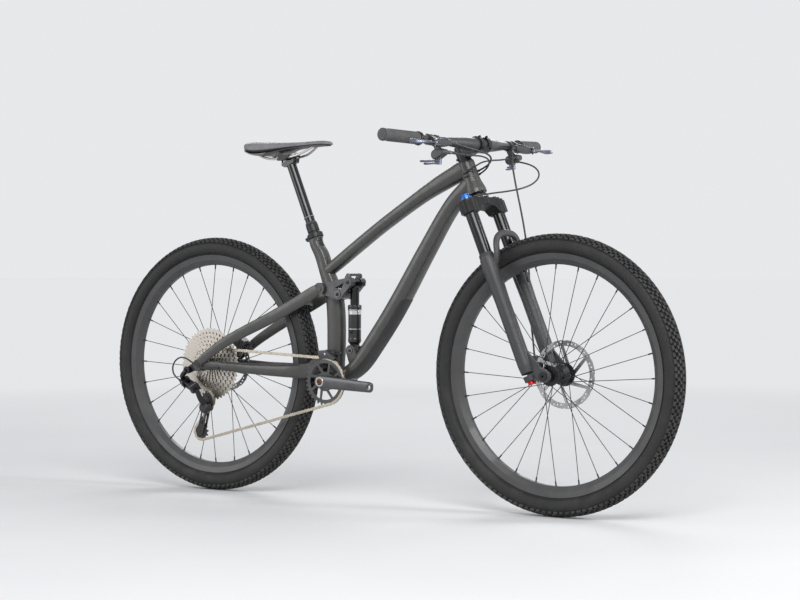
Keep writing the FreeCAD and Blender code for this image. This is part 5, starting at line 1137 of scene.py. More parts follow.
@dataclass
class Studio:
    """Floor, soft lights and camera."""

    camera_place: Point = (3.19536, -4.47515, 0.66351)
    heading: float = 0.608131
    dip: float = 0.019156
    roll: float = -0.003132
    lens: float = 89.8
    floor_tone: float = 0.78
    air_tone: Colour = (0.8, 0.81, 0.83)
    fade_from: float = 1.6
    fade_to: float = 5.5

    def build(self) -> None:
        """Set up everything that isn't part of the bike."""
        self.set_camera()
        self.set_floor()
        self.set_world()
        self.set_lamps()
        bpy.context.scene.view_settings.view_transform = "Standard"

    def set_camera(self) -> None:
        """Camera at three quarters from the front on the drive side."""
        back = Vector((math.sin(self.heading) * math.cos(self.dip), -math.cos(self.heading) * math.cos(self.dip),
                       math.sin(self.dip)))
        right = (-back).cross(Vector((0, 0, 1))).normalized()
        up = right.cross(-back)
        turned_right = right * math.cos(self.roll) + up * math.sin(self.roll)
        turned_up = up * math.cos(self.roll) - right * math.sin(self.roll)
        data = bpy.data.cameras.new("camera")
        data.lens = self.lens
        data.sensor_width = 36.0
        data.clip_end = 200.0
        camera = linked("camera", data)
        camera.matrix_world = Matrix.Translation(self.camera_place) @ Matrix(
            (turned_right, turned_up, back)).transposed().to_4x4()
        bpy.context.scene.camera = camera

    def set_floor(self) -> None:
        """Wide pale floor with a faint cloudy tone, which fades into the air far from the bike."""
        size = 60.0
        floor = mesh_object("studio_floor", ((-size, -size, 0), (size, -size, 0), (size, size, 0), (-size, size, 0)),
                            ((0, 1, 2, 3),), smooth=False)
        material = bpy.data.materials.new("pale_floor")
        material.use_nodes = True
        wiring = Wiring(material.node_tree)
        material.node_tree.nodes.clear()
        place = wiring.put("ShaderNodeTexCoord").outputs["Object"]
        cloud = wiring.put("ShaderNodeTexNoise", {"Vector": place, "Scale": 1.3, "Detail": 5.0})
        tone = self.floor_tone
        colour = wiring.blend(wiring.ramp(cloud.outputs["Fac"], 0.3, 0.7), (tone, tone, tone, 1),
                              (tone * 0.965, tone * 0.965, tone * 0.97, 1))
        shader = wiring.put("ShaderNodeBsdfPrincipled", {"Base Color": colour, "Roughness": 0.7,
                                                         "Specular IOR Level": 0.2})
        air = wiring.put("ShaderNodeEmission", {"Color": (*self.air_tone, 1), "Strength": 1.0})
        far = wiring.ramp(wiring.vector("LENGTH", place, out=1), self.fade_from, self.fade_to)
        far = wiring.math("SMOOTH_MIN", far, 1.0, 0.2, clamp=True)
        share = wiring.math("MULTIPLY", far, self.looked_at(wiring))
        mixed = wiring.put("ShaderNodeMixShader", {0: share, 1: shader.outputs[0], 2: air.outputs[0]})
        wiring.put("ShaderNodeOutputMaterial", {"Surface": mixed.outputs[0]})
        floor.data.materials.append(material)

    def set_world(self) -> None:
        """Even pale surroundings, brighter to the eye and to polished parts."""
        world = bpy.data.worlds.new("studio_air")
        world.use_nodes = True
        bpy.context.scene.world = world
        world.node_tree.nodes.clear()
        wiring = Wiring(world.node_tree)
        seen = self.looked_at(wiring)
        lit = wiring.put("ShaderNodeBackground", {"Color": (0.9, 0.93, 1.0, 1), "Strength": 0.36})
        shown = wiring.put("ShaderNodeBackground", {"Color": (*self.air_tone, 1), "Strength": 1.0})
        mixed = wiring.put("ShaderNodeMixShader", {0: seen, 1: lit.outputs[0], 2: shown.outputs[0]})
        wiring.put("ShaderNodeOutputWorld", {"Surface": mixed.outputs[0]})

    @staticmethod
    def looked_at(wiring: Wiring) -> Socket:
        """One for rays from the camera, and for those off metal or through glass.

        Args:
            wiring: Wiring of the material or world.

        Returns:
            The share.
        """
        path = wiring.put("ShaderNodeLightPath")
        seen = wiring.math("MAXIMUM", path.outputs["Is Camera Ray"], path.outputs["Is Transmission Ray"])
        return wiring.math("MAXIMUM", seen, path.outputs["Is Glossy Ray"])

    def set_lamps(self) -> None:
        """Broad key from above, low fill, two strips that draw the front edges and one lamp behind."""
        for name, place, target, size, power in (
                ("key", (2.6, -3.2, 3.6), (0.0, 0.0, 0.5), (3.2, 2.2), 165.0),
                ("fill", (-3.4, -3.6, 1.8), (0.0, 0.0, 0.5), (2.4, 2.4), 55.0),
                ("strip", (4.2, 1.4, 2.0), (0.3, 0.0, 0.6), (0.7, 2.6), 75.0),
                ("nose", (4.6, 0.5, 0.9), (0.2, 0.0, 0.6), (0.5, 1.7), 42.0),
                ("back", (-2.2, 3.6, 2.9), (0.0, 0.0, 0.6), (3.0, 1.4), 60.0)):
            data = bpy.data.lights.new(name, "AREA")
            data.shape = "RECTANGLE"
            data.size, data.size_y = size
            data.energy = power
            lamp = linked(name, data)
            direction = Vector(place) - Vector(target)
            lamp.rotation_euler = direction.to_track_quat("Z", "Y").to_euler()
            lamp.location = place


# ---------------------------------------------------------------- hoses and cables


@dataclass(frozen=True)
class Line:
    """One hose or cable housing: its route, size and what it joins."""

    name: str
    node: str
    radius: float
    length: float
    route: tuple[Point, ...]
    bodies: tuple[str, ...]
    slack: tuple[Point, ...] = ()


@dataclass
class ControlLines:
    """The hoses and housings that run free, each on one smooth curve."""

    lines: tuple[Line, ...] = (
        Line("rear_brake_line", "control_lines", 0.0025, 0.233, (
            (0.3523, -0.1458, 0.9708), (0.366, -0.116, 0.962), (0.378, -0.082, 0.955), (0.386, -0.046, 0.949),
            (0.384, -0.012, 0.939), (0.364, 0.014, 0.925), (0.338, 0.024, 0.913), (0.3142, 0.024, 0.9032)),
             ("steering", "frame"), ((0.366, -0.116, 0.962), (0.338, 0.024, 0.913))),
        Line("shift_housing", "control_lines", 0.00225, 0.233, (
            (0.3576, -0.1596, 0.9451), (0.366, -0.128, 0.941), (0.375, -0.092, 0.94), (0.381, -0.054, 0.94),
            (0.38, -0.018, 0.933), (0.364, 0.008, 0.92), (0.341, 0.023, 0.905), (0.318, 0.024, 0.894)),
             ("steering", "frame"), ((0.366, -0.128, 0.941), (0.341, 0.023, 0.905))),
        Line("dropper_housing", "control_lines", 0.00225, 0.214, (
            (0.3583, 0.155, 0.945), (0.352, 0.122, 0.94), (0.347, 0.088, 0.936), (0.347, 0.054, 0.934),
            (0.35, 0.021, 0.931), (0.35, -0.009, 0.926), (0.3364, -0.026, 0.9124), (0.3142, -0.026, 0.9032)),
             ("steering", "frame"), ((0.352, 0.122, 0.94), (0.3364, -0.026, 0.9124))),
        Line("lockout_housing", "control_lines", 0.00225, 0.342, (
            (0.3508, 0.156, 0.9352), (0.388, 0.152, 0.93), (0.43, 0.142, 0.915), (0.455, 0.118, 0.892),
            (0.458, 0.082, 0.87), (0.446, 0.042, 0.856), (0.42, 0.008, 0.848), (0.389, -0.024, 0.843),
            (0.352, -0.05, 0.8348)), ("steering",)),
        Line("front_brake_line", "front_brake_hose", 0.0025, 0.621, (
            (0.353, 0.1445, 0.9706), (0.362, 0.126, 0.932), (0.378, 0.112, 0.89), (0.394, 0.102, 0.846),
            (0.408, 0.097, 0.8), (0.42, 0.094, 0.752), (0.427, 0.096, 0.702), (0.4316, 0.098, 0.65),
            (0.4341, 0.098, 0.597), (0.4384, 0.092, 0.5444), (0.4484, 0.082, 0.4944), (0.4608, 0.072, 0.4487),
            (0.4695, 0.063, 0.4069), (0.484, 0.05585, 0.3809)),
             ("steering", "lowers"), ((0.394, 0.102, 0.846), (0.4341, 0.098, 0.597))),
        Line("derailleur_line", "derailleur_housing", 0.00225, 0.239, (
            (-0.505, -0.0735, 0.36), (-0.54, -0.09, 0.352), (-0.577, -0.098, 0.372), (-0.612, -0.101, 0.392),
            (-0.642, -0.1, 0.384), (-0.664, -0.093, 0.36), (-0.666, -0.082, 0.331), (-0.6416, -0.0761, 0.3177)),
             ("swingarm",)),
    )

    def build(self) -> None:
        for line in self.lines:
            tube, path = self.tube(line)
            tube.data.materials.append(CABLE.build())
            if len(line.bodies) == 2:
                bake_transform(tube)
            else:
                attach(tube, line.bodies[0])
            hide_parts(line.node)
            LOG.info("%s follows %d route points", line.name, len(line.route))
            self.end_sleeves(line, path)

    @staticmethod
    def tube(line: Line) -> tuple[Object, list[Vector]]:
        """Mesh tube of a line and the points that it follows.

        Args:
            line: The line.

        Returns:
            The tube, and its centre line from its first end to its last.
        """
        bare = frozen(spline_object(line.name, "NURBS", line.route, 0.0, 4), line.name + "_path")
        path = [v.co.copy() for v in bare.data.vertices]
        bpy.data.objects.remove(bare)
        return plain_tube(spline_object(line.name, "NURBS", line.route, line.radius, 4), line.name), path

    def end_sleeves(self, line: Line, path: list[Vector]) -> None:
        """Tapered rubber sleeve where a line leaves its lever and a ferrule where it ends.

        Args:
            line: The line.
            path: Its centre line.
        """
        r = line.radius
        start, ahead = path[0], (path[4] - path[0]).normalized()
        dress_turned(line.name + "_sleeve", CONTROL if r > 0.0024 else SEAL, line.bodies[0], start, ahead, (
            (r, 0.0), (r + 0.0016, 0.0), (r + 0.0014, 0.004), (r + 0.0017, 0.0045), (r + 0.0017, 0.0065),
            (r + 0.0012, 0.007), (r + 0.0009, 0.013), (r + 0.0004, 0.015), (r, 0.015)), 24)
        last, back = path[-1], (path[-5] - path[-1]).normalized()
        dress_turned(line.name + "_ferrule", SEAL, line.bodies[-1], last, back, (
            (r, 0.0), (r + 0.0015, 0.0), (r + 0.0015, 0.002), (r + 0.0008, 0.0028), (r + 0.0008, 0.009),
            (r + 0.0003, 0.01), (r, 0.01)), 24)


# ---------------------------------------------------------------- saddle


@dataclass(frozen=True)
class SaddleSection:
    """Shape of the saddle at one place from its tail (0) to its nose (1)."""

    along: float
    half_width: float
    height: float
    rise: float


@dataclass
class Saddle:
    """Foam saddle with a tight cover, a relief channel and a moulded base, with painted shade on the cover's downward
    faces and a pale tube round the tail as a painted highlight.
    """

    length: float = 0.280
    behind: float = 0.128
    channel_depth: float = 0.0042
    facets: int = 72
    crown_share: float = 0.62
    fullness: float = 0.78
    channel_half_width: float = 0.0075
    line_depth: float = 0.0012
    sections: tuple[SaddleSection, ...] = (
        SaddleSection(0.0, 0.0400, 0.016, 0.0435), SaddleSection(0.02, 0.0545, 0.025, 0.0466),
        SaddleSection(0.05, 0.0622, 0.031, 0.0475), SaddleSection(0.14, 0.0688, 0.040, 0.0485),
        SaddleSection(0.26, 0.0646, 0.038, 0.0466), SaddleSection(0.38, 0.0508, 0.030, 0.0446),
        SaddleSection(0.5, 0.0345, 0.022, 0.0434), SaddleSection(0.62, 0.0248, 0.0178, 0.0434),
        SaddleSection(0.74, 0.0212, 0.0165, 0.0444), SaddleSection(0.86, 0.0186, 0.0155, 0.0450),
        SaddleSection(0.95, 0.0150, 0.0135, 0.0436), SaddleSection(0.985, 0.0105, 0.0108, 0.0412),
        SaddleSection(1.0, 0.0060, 0.0070, 0.0385))

    def build(self) -> None:
        """Make the padded cover with its painted shade underneath, its base and the painted highlight round the tail.
        """
        cover = self.cover()
        dress(cover, self.leather(), "saddle_post")
        # The downward faces of the cover get a near-black material: painted shade.
        self.side_panels(cover)
        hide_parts("saddle")
        dress(self.base(), CONTROL, "saddle_post")
        # Pale tube round the tail: painted highlight along the lower edge of the base.
        dress(self.edge(), PALE_TRIM_AND_HIGHLIGHT, "saddle_post")

    def side_panels(self, cover: Object) -> None:
        """Painted shade: a darker, coarser material on the cover's faces that look downwards.

        Args:
            cover: The finished cover.
        """
        cover.data.materials.append(SADDLE_UNDERSIDE_SHADE.build())
        # Faces that look downwards take the darker material: painted shade.
        for polygon in cover.data.polygons:
            if polygon.normal.z < -0.3:
                polygon.material_index = 1

    def place(self, along: float) -> tuple[float, float]:
        """Distance forward and height of the crown at one place of the saddle."""
        rise = self.shape_at(along)[2]
        return SADDLE_SEAT.x - self.behind + 0.001 + along * (self.length - 0.002), SADDLE_SEAT.z + rise

    def edge(self) -> Object:
        """Painted highlight: a thin pale tube along the base's rim round the tail, under the cover.

        Returns:
            The piece.
        """
        points: list[Vector] = []
        for side in (1, -1):
            row = []
            for i in range(13):
                along = 0.3 - 0.296 * (i / 12) ** 0.8
                half, height, _ = self.shape_at(along)
                x, crown = self.place(along)
                row.append(Vector((x - 0.0012 * (i / 12), side * half * 0.915, crown - height * 0.93)))
            points += row if side > 0 else row[::-1]
        return plain_tube(spline_object("saddle_edge", "POLY", points, 0.0013, 3), "saddle_edge")

    def shape_at(self, along: float) -> tuple[float, float, float]:
        """Half width, height and rise of the saddle, smoothly between its sections.

        Args:
            along: Share of the way from the tail to the nose.

        Returns:
            Half width, height and rise.
        """
        rows = self.sections
        spot = held(along)
        index = max(i for i in range(len(rows) - 1) if rows[i].along <= spot + 1e-9)
        first, second = rows[index], rows[index + 1]
        before, after = rows[max(index - 1, 0)], rows[min(index + 2, len(rows) - 1)]
        share = (spot - first.along) / (second.along - first.along)

        def eased(pick: Callable[[SaddleSection], float]) -> float:
            """One size of the saddle on a curve through four sections.

            Args:
                pick: Reads the size from a section.

            Returns:
                The size.
            """
            a, b, c, d = pick(before), pick(first), pick(second), pick(after)
            span = second.along - first.along
            slope_in = (c - a) / max(second.along - before.along, 1e-6) * span
            slope_out = (d - b) / max(after.along - first.along, 1e-6) * span
            t, s = share, 1 - share
            return (b * (1 + 2 * t) * s * s + slope_in * t * s * s + c * (3 - 2 * t) * t * t
                    - slope_out * s * t * t)

        return eased(lambda r: r.half_width), eased(lambda r: r.height), eased(lambda r: r.rise)

    def ring(self, along: float) -> list[Vector]:
        """Points round the saddle at one place, from the left edge over the top.

        Args:
            along: Share of the way from the tail to the nose.

        Returns:
            The points in order.
        """
        half, height, _ = self.shape_at(along)
        x, crown = self.place(along)
        points = []
        for i in range(self.facets):
            angle = TAU * i / self.facets
            side, up = math.cos(angle), math.sin(angle)
            y = half * math.copysign(abs(side) ** self.fullness, side)
            if up >= 0:
                z = crown - height * self.crown_share * (1 - abs(up) ** 0.62)
                groove = self.channel_depth * math.exp(-(y / self.channel_half_width) ** 2)
                groove *= held((along - 0.12) / 0.12) * held((0.9 - along) / 0.12)
                pressed_line = self.line_depth * math.exp(-((abs(y) - half * 0.8) / 0.0016) ** 2)
                z -= groove + pressed_line
            else:
                z = crown - height * (self.crown_share + (1 - self.crown_share) * abs(up) ** 0.7)
                y *= 1 - 0.16 * abs(up)
            points.append(Vector((x, y, z)))
        return points

    def cover(self) -> Object:
        """Crowned cover with a sunk channel and two pressed lines near its edges.

        Returns:
            The piece.
        """
        steps = [0.0, 0.012] + [0.012 + 0.976 * (i / 58) for i in range(1, 58)] + [0.988, 1.0]
        rings = [self.ring(s) for s in steps]
        inner = Vector((rings[0][0].x, 0, rings[0][self.facets // 4].z - 0.004))
        tail = [point.lerp(inner, 0.35) - Vector((0.001, 0, 0)) for point in rings[0]]
        piece = lofted("saddle_padding", [tail] + rings)
        smoothing = piece.modifiers.new("smoothing", "SUBSURF")
        smoothing.levels = smoothing.render_levels = 1
        return frozen(piece)

    def base(self) -> Object:
        """Moulded base that shows as a thin lip under the cover.

        Returns:
            The piece.
        """
        rings = []
        for i in range(40):
            along = 0.03 + 0.93 * i / 39
            half, height, _ = self.shape_at(along)
            x, crown = self.place(along)
            reach = half * 0.9
            bottom = crown - height
            edge = ((reach, 0.0032), (reach, 0.0006), (reach * 0.7, -0.0012))
            rings.append([Vector((x, y, bottom + rise)) for y, rise in edge]
                         + [Vector((x, -y, bottom + rise)) for y, rise in reversed(edge)])
        piece = lofted("saddle_base", rings)
        shade_by_angle(piece)
        return piece

    @staticmethod
    def leather() -> Finish:
        """Fine-pored synthetic leather with a soft shine."""
        return Finish("saddle_leather", (0.21, 0.205, 0.215), (0.15, 0.147, 0.153), rough=0.46, rough_span=0.14,
                      grain=0.0011, relief=0.00009, speckle=0.5, wear=0.0, dust=0.03, specular=0.35)


# ---------------------------------------------------------------- wheels


@dataclass(frozen=True)
class Knob:
    """A mirrored pair of tread knobs, placed in the tyre's cross-section and along one pitch."""

    angle: float
    half_angle: float
    place: float
    half_length: float
    height: float = 0.0


@dataclass
class Tyre:
    """Knobbly tyre: a smooth casing and a tread repeated round the wheel."""

    prefix: str
    hub: Vector
    pitches: int = 64
    crown_centre: float = 0.32896
    crown_radius: float = 0.03304
    tread_radius: float = 0.0389
    shoulder: float = 54.8
    wall: float = 0.0022
    wall_from: float = 0.33
    bead_share: float = 0.86
    knobs: tuple[Knob, ...] = (
        Knob(5.2, 3.7, 0.04, 0.15), Knob(7.4, 3.9, 0.52, 0.15), Knob(18.6, 3.9, 0.28, 0.14),
        Knob(20.4, 3.6, 0.79, 0.13), Knob(31.0, 3.2, 0.05, 0.13), Knob(32.0, 3.0, 0.53, 0.12),
        Knob(41.5, 4.6, 0.29, 0.17, 0.0006), Knob(42.5, 4.0, 0.78, 0.15, 0.0004))

    def build(self) -> None:
        """Make the casing and the tread of one wheel."""
        body = self.prefix + "_wheel"
        casing = self.casing()
        dress(casing, casing_finish(self.prefix + "_casing_rubber", self.hub), body)
        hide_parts(self.prefix + "_tire")
        tread = REPEATER.around(self.pitch(), self.pitches, self.hub, SIDEWAYS, TREAD)
        tread.name = self.prefix + "_tyre_tread"
        dress(tread, TREAD, body)

    def casing(self) -> Object:
        """Closed casing with a bead, a rim-guard ridge and a rounded crown.

        Returns:
            The piece.
        """
        outline = [(0.3118, 0.0143), (0.3186, 0.0147), (0.3192, 0.0169), (0.3212, 0.0176), (0.3226, 0.0212),
                   (0.3268, 0.0252), (0.333, 0.0279), (0.34, 0.0282), (0.348, 0.027)]
        for i in range(1, 9):
            angle = math.radians(self.shoulder * (1 - i / 8))
            outline.append((self.crown_centre + self.crown_radius * math.cos(angle),
                            self.crown_radius * math.sin(angle)))
        outline += [(r, -y) for r, y in reversed(outline[:-1])]
        inner = [(r - self.wall if r > self.wall_from else r, y * self.bead_share) for r, y in reversed(outline)]
        return turned_piece(self.prefix + "_tyre_casing", self.hub, SIDEWAYS, outline + inner, 144)

    def at(self, radius: float, section: float, around: float) -> Vector:
        """Point of the tyre: distance from the crown's centre, angle in the section and angle round the hub."""
        reach = self.crown_centre + radius * math.cos(section)
        return self.hub + spoke_way(around) * reach + SIDEWAYS * radius * math.sin(section)

    def pitch(self) -> Object:
        """The knobs of one pitch, each with sloping walls, a bevelled rim and a flat top.

        Returns:
            The piece.
        """
        verts: list[Vector] = []
        faces: list[tuple[int, ...]] = []
        step = TAU / self.pitches
        for knob, way in ((knob, way) for knob in self.knobs for way in (1, -1)):
            centre, half = math.radians(way * knob.angle), math.radians(knob.half_angle)
            tip = self.tread_radius + knob.height
            rows = ((self.crown_radius - 0.0006, 1.25, 1.22), (tip - 0.0006, 1.0, 1.0), (tip, 0.88, 0.88))
            base = len(verts)
            for radius, across, length in rows:
                for a, b in ((-1, -1), (1, -1), (1, 1), (-1, 1)):
                    verts.append(self.at(radius, centre + a * half * across,
                                         (knob.place + b * knob.half_length * length) * step))
            for r in range(2):
                for i in range(4):
                    j = (i + 1) % 4
                    faces.append((base + 4 * r + i, base + 4 * r + j, base + 4 * r + 4 + j, base + 4 * r + 4 + i))
            faces.append((base + 8, base + 9, base + 10, base + 11))
            faces.append((base + 3, base + 2, base + 1, base))
        return mesh_object("tread_pitch", verts, faces, smooth=False)


@dataclass
class Wheels:
    """Both wheels: tyres, rims, hubs, rotors, valves and spoke seats."""

    valve_angles: tuple[tuple[str, float], ...] = (("front", 1.907), ("rear", 0.561))

    def build(self) -> None:
        """Dress both wheels."""
        for prefix, hub, rotor in (("front", FRONT_HUB, 0.041), ("rear", REAR_HUB, 0.057)):
            Tyre(prefix, hub).build()
            body = prefix + "_wheel"
            paint(RIM, prefix + "_rim")
            paint(SPOKE, prefix + "_spokes")
            paint(HUB, prefix + "_hub")
            paint(rotor_finish(prefix + "_rotor_steel", hub), prefix + "_rotor")
            self.valve(prefix, hub, body)
            self.spoke_seats(prefix, hub, body)
            self.lockring(prefix, hub, rotor, body)

    def valve(self, prefix: str, hub: Vector, body: str) -> None:
        """Valve stem with its nut and cap, which points to the hub.

        Args:
            prefix: Word before the names of this wheel's pieces.
            hub: Middle of the hub.
            body: The wheel's body.
        """
        out = spoke_way(dict(self.valve_angles)[prefix])
        seat = hub + out * 0.2885
        dress_turned(prefix + "_valve", BLACK_ALLOY, body, seat, -out, (
            (0.0, 0.0), (0.0058, 0.0), (0.0058, 0.0032), (0.0031, 0.0042), (0.0031, 0.017), (0.0037, 0.0175),
            (0.0036, 0.03), (0.0026, 0.0325), (0.0, 0.0325)), 24)

    def spoke_seats(self, prefix: str, hub: Vector, body: str) -> None:
        """Raised seats round the rim where the spokes enter.

        Args:
            prefix: Word before the names of this wheel's pieces.
            hub: Middle of the hub.
            body: The wheel's body.
        """
        for side, shift in ((1, 0), (-1, 1)):
            out = spoke_way(TAU * shift / SPOKES)
            item = turned_piece(f"{prefix}_spoke_seat", hub + out * 0.2884 + SIDEWAYS * side * 0.0025, -out, (
                (0.0021, 0.0), (0.0042, 0.0), (0.0036, 0.0012), (0.0024, 0.0016), (0.0021, 0.0016)), 16)
            ring = REPEATER.around(item, SPOKES // 2, hub, SIDEWAYS, RIM)
            ring.name = f"{prefix}_spoke_seats_{'left' if side > 0 else 'right'}"
            dress(ring, RIM, body)

    def lockring(self, prefix: str, hub: Vector, rotor: float, body: str) -> None:
        """Notched ring that holds the rotor on its hub.

        Args:
            prefix: Word before the names of this wheel's pieces.
            hub: Middle of the hub.
            rotor: Distance of the rotor to the left.
            body: The wheel's body.
        """
        seat = hub + SIDEWAYS * (rotor + 0.001)
        dress_turned(prefix + "_rotor_lockring", BLACK_ALLOY, body, seat, SIDEWAYS, (
            (0.0162, 0.0), (0.0222, 0.0), (0.0222, 0.0016), (0.0205, 0.0026), (0.0178, 0.0026), (0.0162, 0.0018)))


# ---------------------------------------------------------------- fork and cockpit


@dataclass
class Fork:
    """Suspension fork with its wiper seals, crown collars, lower headset ring and foot bolt."""

    half: float = 0.067
    advance: float = 0.004
    lowers_top: float = 0.342
    seal_radius: float = 0.0199

    def build(self) -> None:
        """Dress the fork and add its seals and small parts."""
        paint(CROWN, "fork_crown")
        paint(MAGNESIUM, "fork_lowers")
        paint(BLACK_ALLOY, "front_axle")
        paint(CONTROL, "front_caliper")
        paint(RED, "rebound_knob")
        paint(BLUE, "lockout_dial")
        blue_end = Zone(ZoneShape.BAND, STEER.at(0), 0.512, 0.6, BLUE.colour, 0.8, 0.28, STEER.up)
        paint(Finish("stanchion_black", HARD_BLACK.colour, HARD_BLACK.shade, metallic=0.75, rough=0.14,
                     rough_span=0.06, wear=0.05, dust=0.02, coat=0.4, zones=(blue_end,)), "fork_stanchions")
        for side in Side:
            seat = STEER.at(self.lowers_top + 0.008, self.advance, side.value * self.half)
            dress_turned(f"wiper_seal_{side.label}", SEAL, "lowers", seat, STEER.up, (
                (0.0172, 0.0), (self.seal_radius, 0.0), (self.seal_radius, 0.0028), (0.0192, 0.0034),
                (0.0192, 0.0052), (0.0196, 0.0058), (0.0188, 0.0074), (0.0175, 0.0092), (0.0172, 0.0092)))
            dress_turned(f"crown_collar_{side.label}", CROWN, "steering",
                         STEER.at(0.4735, self.advance, side.value * self.half), -STEER.up,
                         ((0.0171, 0.0), (0.0205, 0.0), (0.0195, 0.0018), (0.0171, 0.0018)))
        dress_turned("lower_headset_ring", STEEL, "steering", STEER.at(0.5158), STEER.up, (
            (0.0262, 0.0), (0.0281, 0.0), (0.0286, 0.0012), (0.0286, 0.0032), (0.0278, 0.0044), (0.0262, 0.0044)), 64)
        foot = STEER.at(-0.0002, self.advance, self.half)
        bolts("fork_foot_bolt", "lowers", BLACK_ALLOY, ((foot, -STEER.up, 0.0068, 0.004),))


@dataclass
class Cockpit:
    """Stem, bar, grips and controls."""

    grip_length: float = 0.135
    ribs: int = 15
    ribs_from: float = 0.0135
    ribs_spare: float = 0.03
    brake_site: float = 0.205
    shifter_site: float = 0.18
    remote_site: float = 0.175

    def build(self) -> None:
        """Dress the cockpit and add grip ribs, caps and bolts."""
        paint(BLACK_ALLOY, "stem")
        paint(BAR, "handlebar")
        paint(GRIP, "grips")
        paint(CONTROL, "bar_control_bodies")
        paint(LEVER, "brake_lever_right", "brake_lever_left", "shift_thumb_lever", "shift_release_lever",
              "dropper_remote_lever", "lockout_remote_lever")
        self.top_cap()
        self.stem_bolts()
        for side in Side:
            self.grip_details(side)
            self.brake_details(side)
            self.shifter_details(side)

    @staticmethod
    def on_bar(distance: float, side: Side, x: float, y: float, z: float) -> Vector:
        """World place of a point in the frame of the controls: X forward, Y to the left, Z up.

        Args:
            distance: How far out along the bar the control sits.
            side: Side that it is on.
            x: Distance ahead.
            y: Distance to the left.
            z: Distance up.

        Returns:
            The point.
        """
        left = bar_direction(side) * side.value
        ahead = left.cross(Vector((0, 0, 1))).normalized()
        return bar_point(distance, side) + ahead * x + left * y + ahead.cross(left) * z

    def brake_details(self, side: Side) -> None:
        """Reservoir lid with its two screws, pivot bolt and clamp bolt of one brake control.

        Args:
            side: Side that it is on.
        """
        def at(x: float, y: float, z: float) -> Vector:
            """Point in the frame of this lever, with y outwards."""
            return self.on_bar(self.brake_site, side, x, side.value * y, z)

        tail, head = at(0.0318, -0.038, -0.0071), at(0.0378, 0.006, -0.0106)
        along = (head - tail).normalized()
        up = (at(0, 0, 0.01) - at(0, 0, 0)).normalized()
        across = along.cross(up).normalized()
        centre = tail.lerp(head, 0.5) + up * 0.0098
        rings = [rounded_ring(centre + up * rise, along * (0.0225 - inset), across * (0.0078 - inset), 0.5, 40)
                 for rise, inset in ((0.0, 0.0), (0.0016, 0.0), (0.0022, 0.0008))]
        lid = lofted(f"reservoir_lid_{side.label}", rings)
        shade_by_angle(lid)
        dress(lid, LEVER, "steering")
        front = (at(0.01, 0, 0) - at(0, 0, 0)).normalized()
        lid_screws = [(centre + along * reach + up * 0.0021, up, 0.0017, 0.0007) for reach in (-0.018, 0.018)]
        bolts(f"brake_screws_{side.label}", "steering", STEEL, [
            *lid_screws, (at(0.049, 0.028, -0.0048), up, 0.0044, 0.0016),
            (at(0.0135, 0.0, 0.0058), front, 0.0026, 0.0026)])

    def shifter_details(self, side: Side) -> None:
        """Knurled adjuster, hub cap and clamp bolt of one pod under the bar.

        Args:
            side: Side that it is on.
        """
        site = self.shifter_site if side is Side.DRIVE else self.remote_site

        def at(x: float, y: float, z: float) -> Vector:
            """Point in the frame of this pod, with y outwards."""
            return self.on_bar(site, side, x, side.value * y, z)

        start = at(0.0332, -0.0148, -0.032)
        away = (at(0.0357, -0.0248, -0.032) - start).normalized()
        profile = [(0.0036, 0.0)]
        for i in range(6):
            profile += [(0.0046, 0.0004 + i * 0.0013), (0.0049, 0.0009 + i * 0.0013), (0.0046, 0.0014 + i * 0.0013)]
        dress_turned(f"cable_adjuster_{side.label}", PIVOT, "steering", start, away, profile + [(0.0036, 0.0092)], 28)
        up = (at(0, 0, 0.01) - at(0, 0, 0)).normalized()
        dress_turned(f"pod_cap_{side.label}", LEVER, "steering", at(0.0245, 0.0, -0.0248), up, (
            (0.0, 0.0), (0.0056, 0.0), (0.0056, 0.0011), (0.0048, 0.0018), (0.0, 0.0018)), 36)
        bolts(f"pod_bolts_{side.label}", "steering", STEEL, ((at(0.0245, 0, -0.0231), up, 0.0019, 0.0008),))

    def top_cap(self) -> None:
        """Cap over the steerer, held by one bolt."""
        dress_turned("stem_top_cap", BLACK_ALLOY, "steering", STEER.at(0.6672), STEER.up, (
            (0.0, 0.0), (0.0176, 0.0), (0.0176, 0.0016), (0.0162, 0.0028), (0.0062, 0.0028), (0.0058, 0.0016),
            (0.0, 0.0016)))
        bolts("stem_top_bolt", "steering", BLACK_ALLOY, ((STEER.at(0.669), STEER.up, 0.0052, 0.0018),))

    def stem_bolts(self) -> None:
        """Four bolts in the bar clamp and two across the steerer clamp."""
        places = [(STEER.at(BAR_ALONG + rise, STEM_REACH + 0.0148, side), STEER.forward, 0.0036, 0.0042)
                  for rise in (-0.0165, 0.0165) for side in (-0.017, 0.017)]
        places += [(STEER.at(rise, -0.0125, -0.0135), Side.DRIVE.out, 0.0036, 0.004) for rise in (0.636, 0.656)]
        bolts("stem_bolts", "steering", HARD_BLACK, places)

    def grip_details(self, side: Side) -> None:
        """Ribs along one grip, its lock ring and the bolt in the ring.

        Args:
            side: Side that it is on.
        """
        axis = bar_direction(side)
        start = bar_point(BAR_END - self.grip_length, side)
        rib = turned_piece("grip_rib", Vector(), Vector((0, 0, 1)), (
            (0.0150, -0.0022), (0.0162, -0.0012), (0.0165, 0.0), (0.0162, 0.0012), (0.0150, 0.0022)), 40)
        gap = (self.grip_length - self.ribs_spare) / self.ribs
        spots = [Place(start + axis * (self.ribs_from + gap * (i + 0.5)), axis, (1, 1, 1)) for i in range(self.ribs)]
        ribs = REPEATER.at_places(rib, spots, GRIP)
        ribs.name = f"grip_ribs_{side.label}"
        dress(ribs, GRIP, "steering")
        dress_turned(f"grip_lock_ring_{side.label}", BLACK_ALLOY, "steering", start, axis, (
            (0.0152, 0.0), (0.0179, 0.0), (0.0182, 0.001), (0.0182, 0.0066), (0.0176, 0.0078), (0.0152, 0.0078)))
        down = (Vector((0, 0, -1)) + axis * axis.z).normalized()
        bolts(f"grip_bolt_{side.label}", "steering", STEEL,
              ((start + axis * 0.0036 + down * 0.0168, down, 0.0022, 0.0028),))


# ---------------------------------------------------------------- frame and suspension


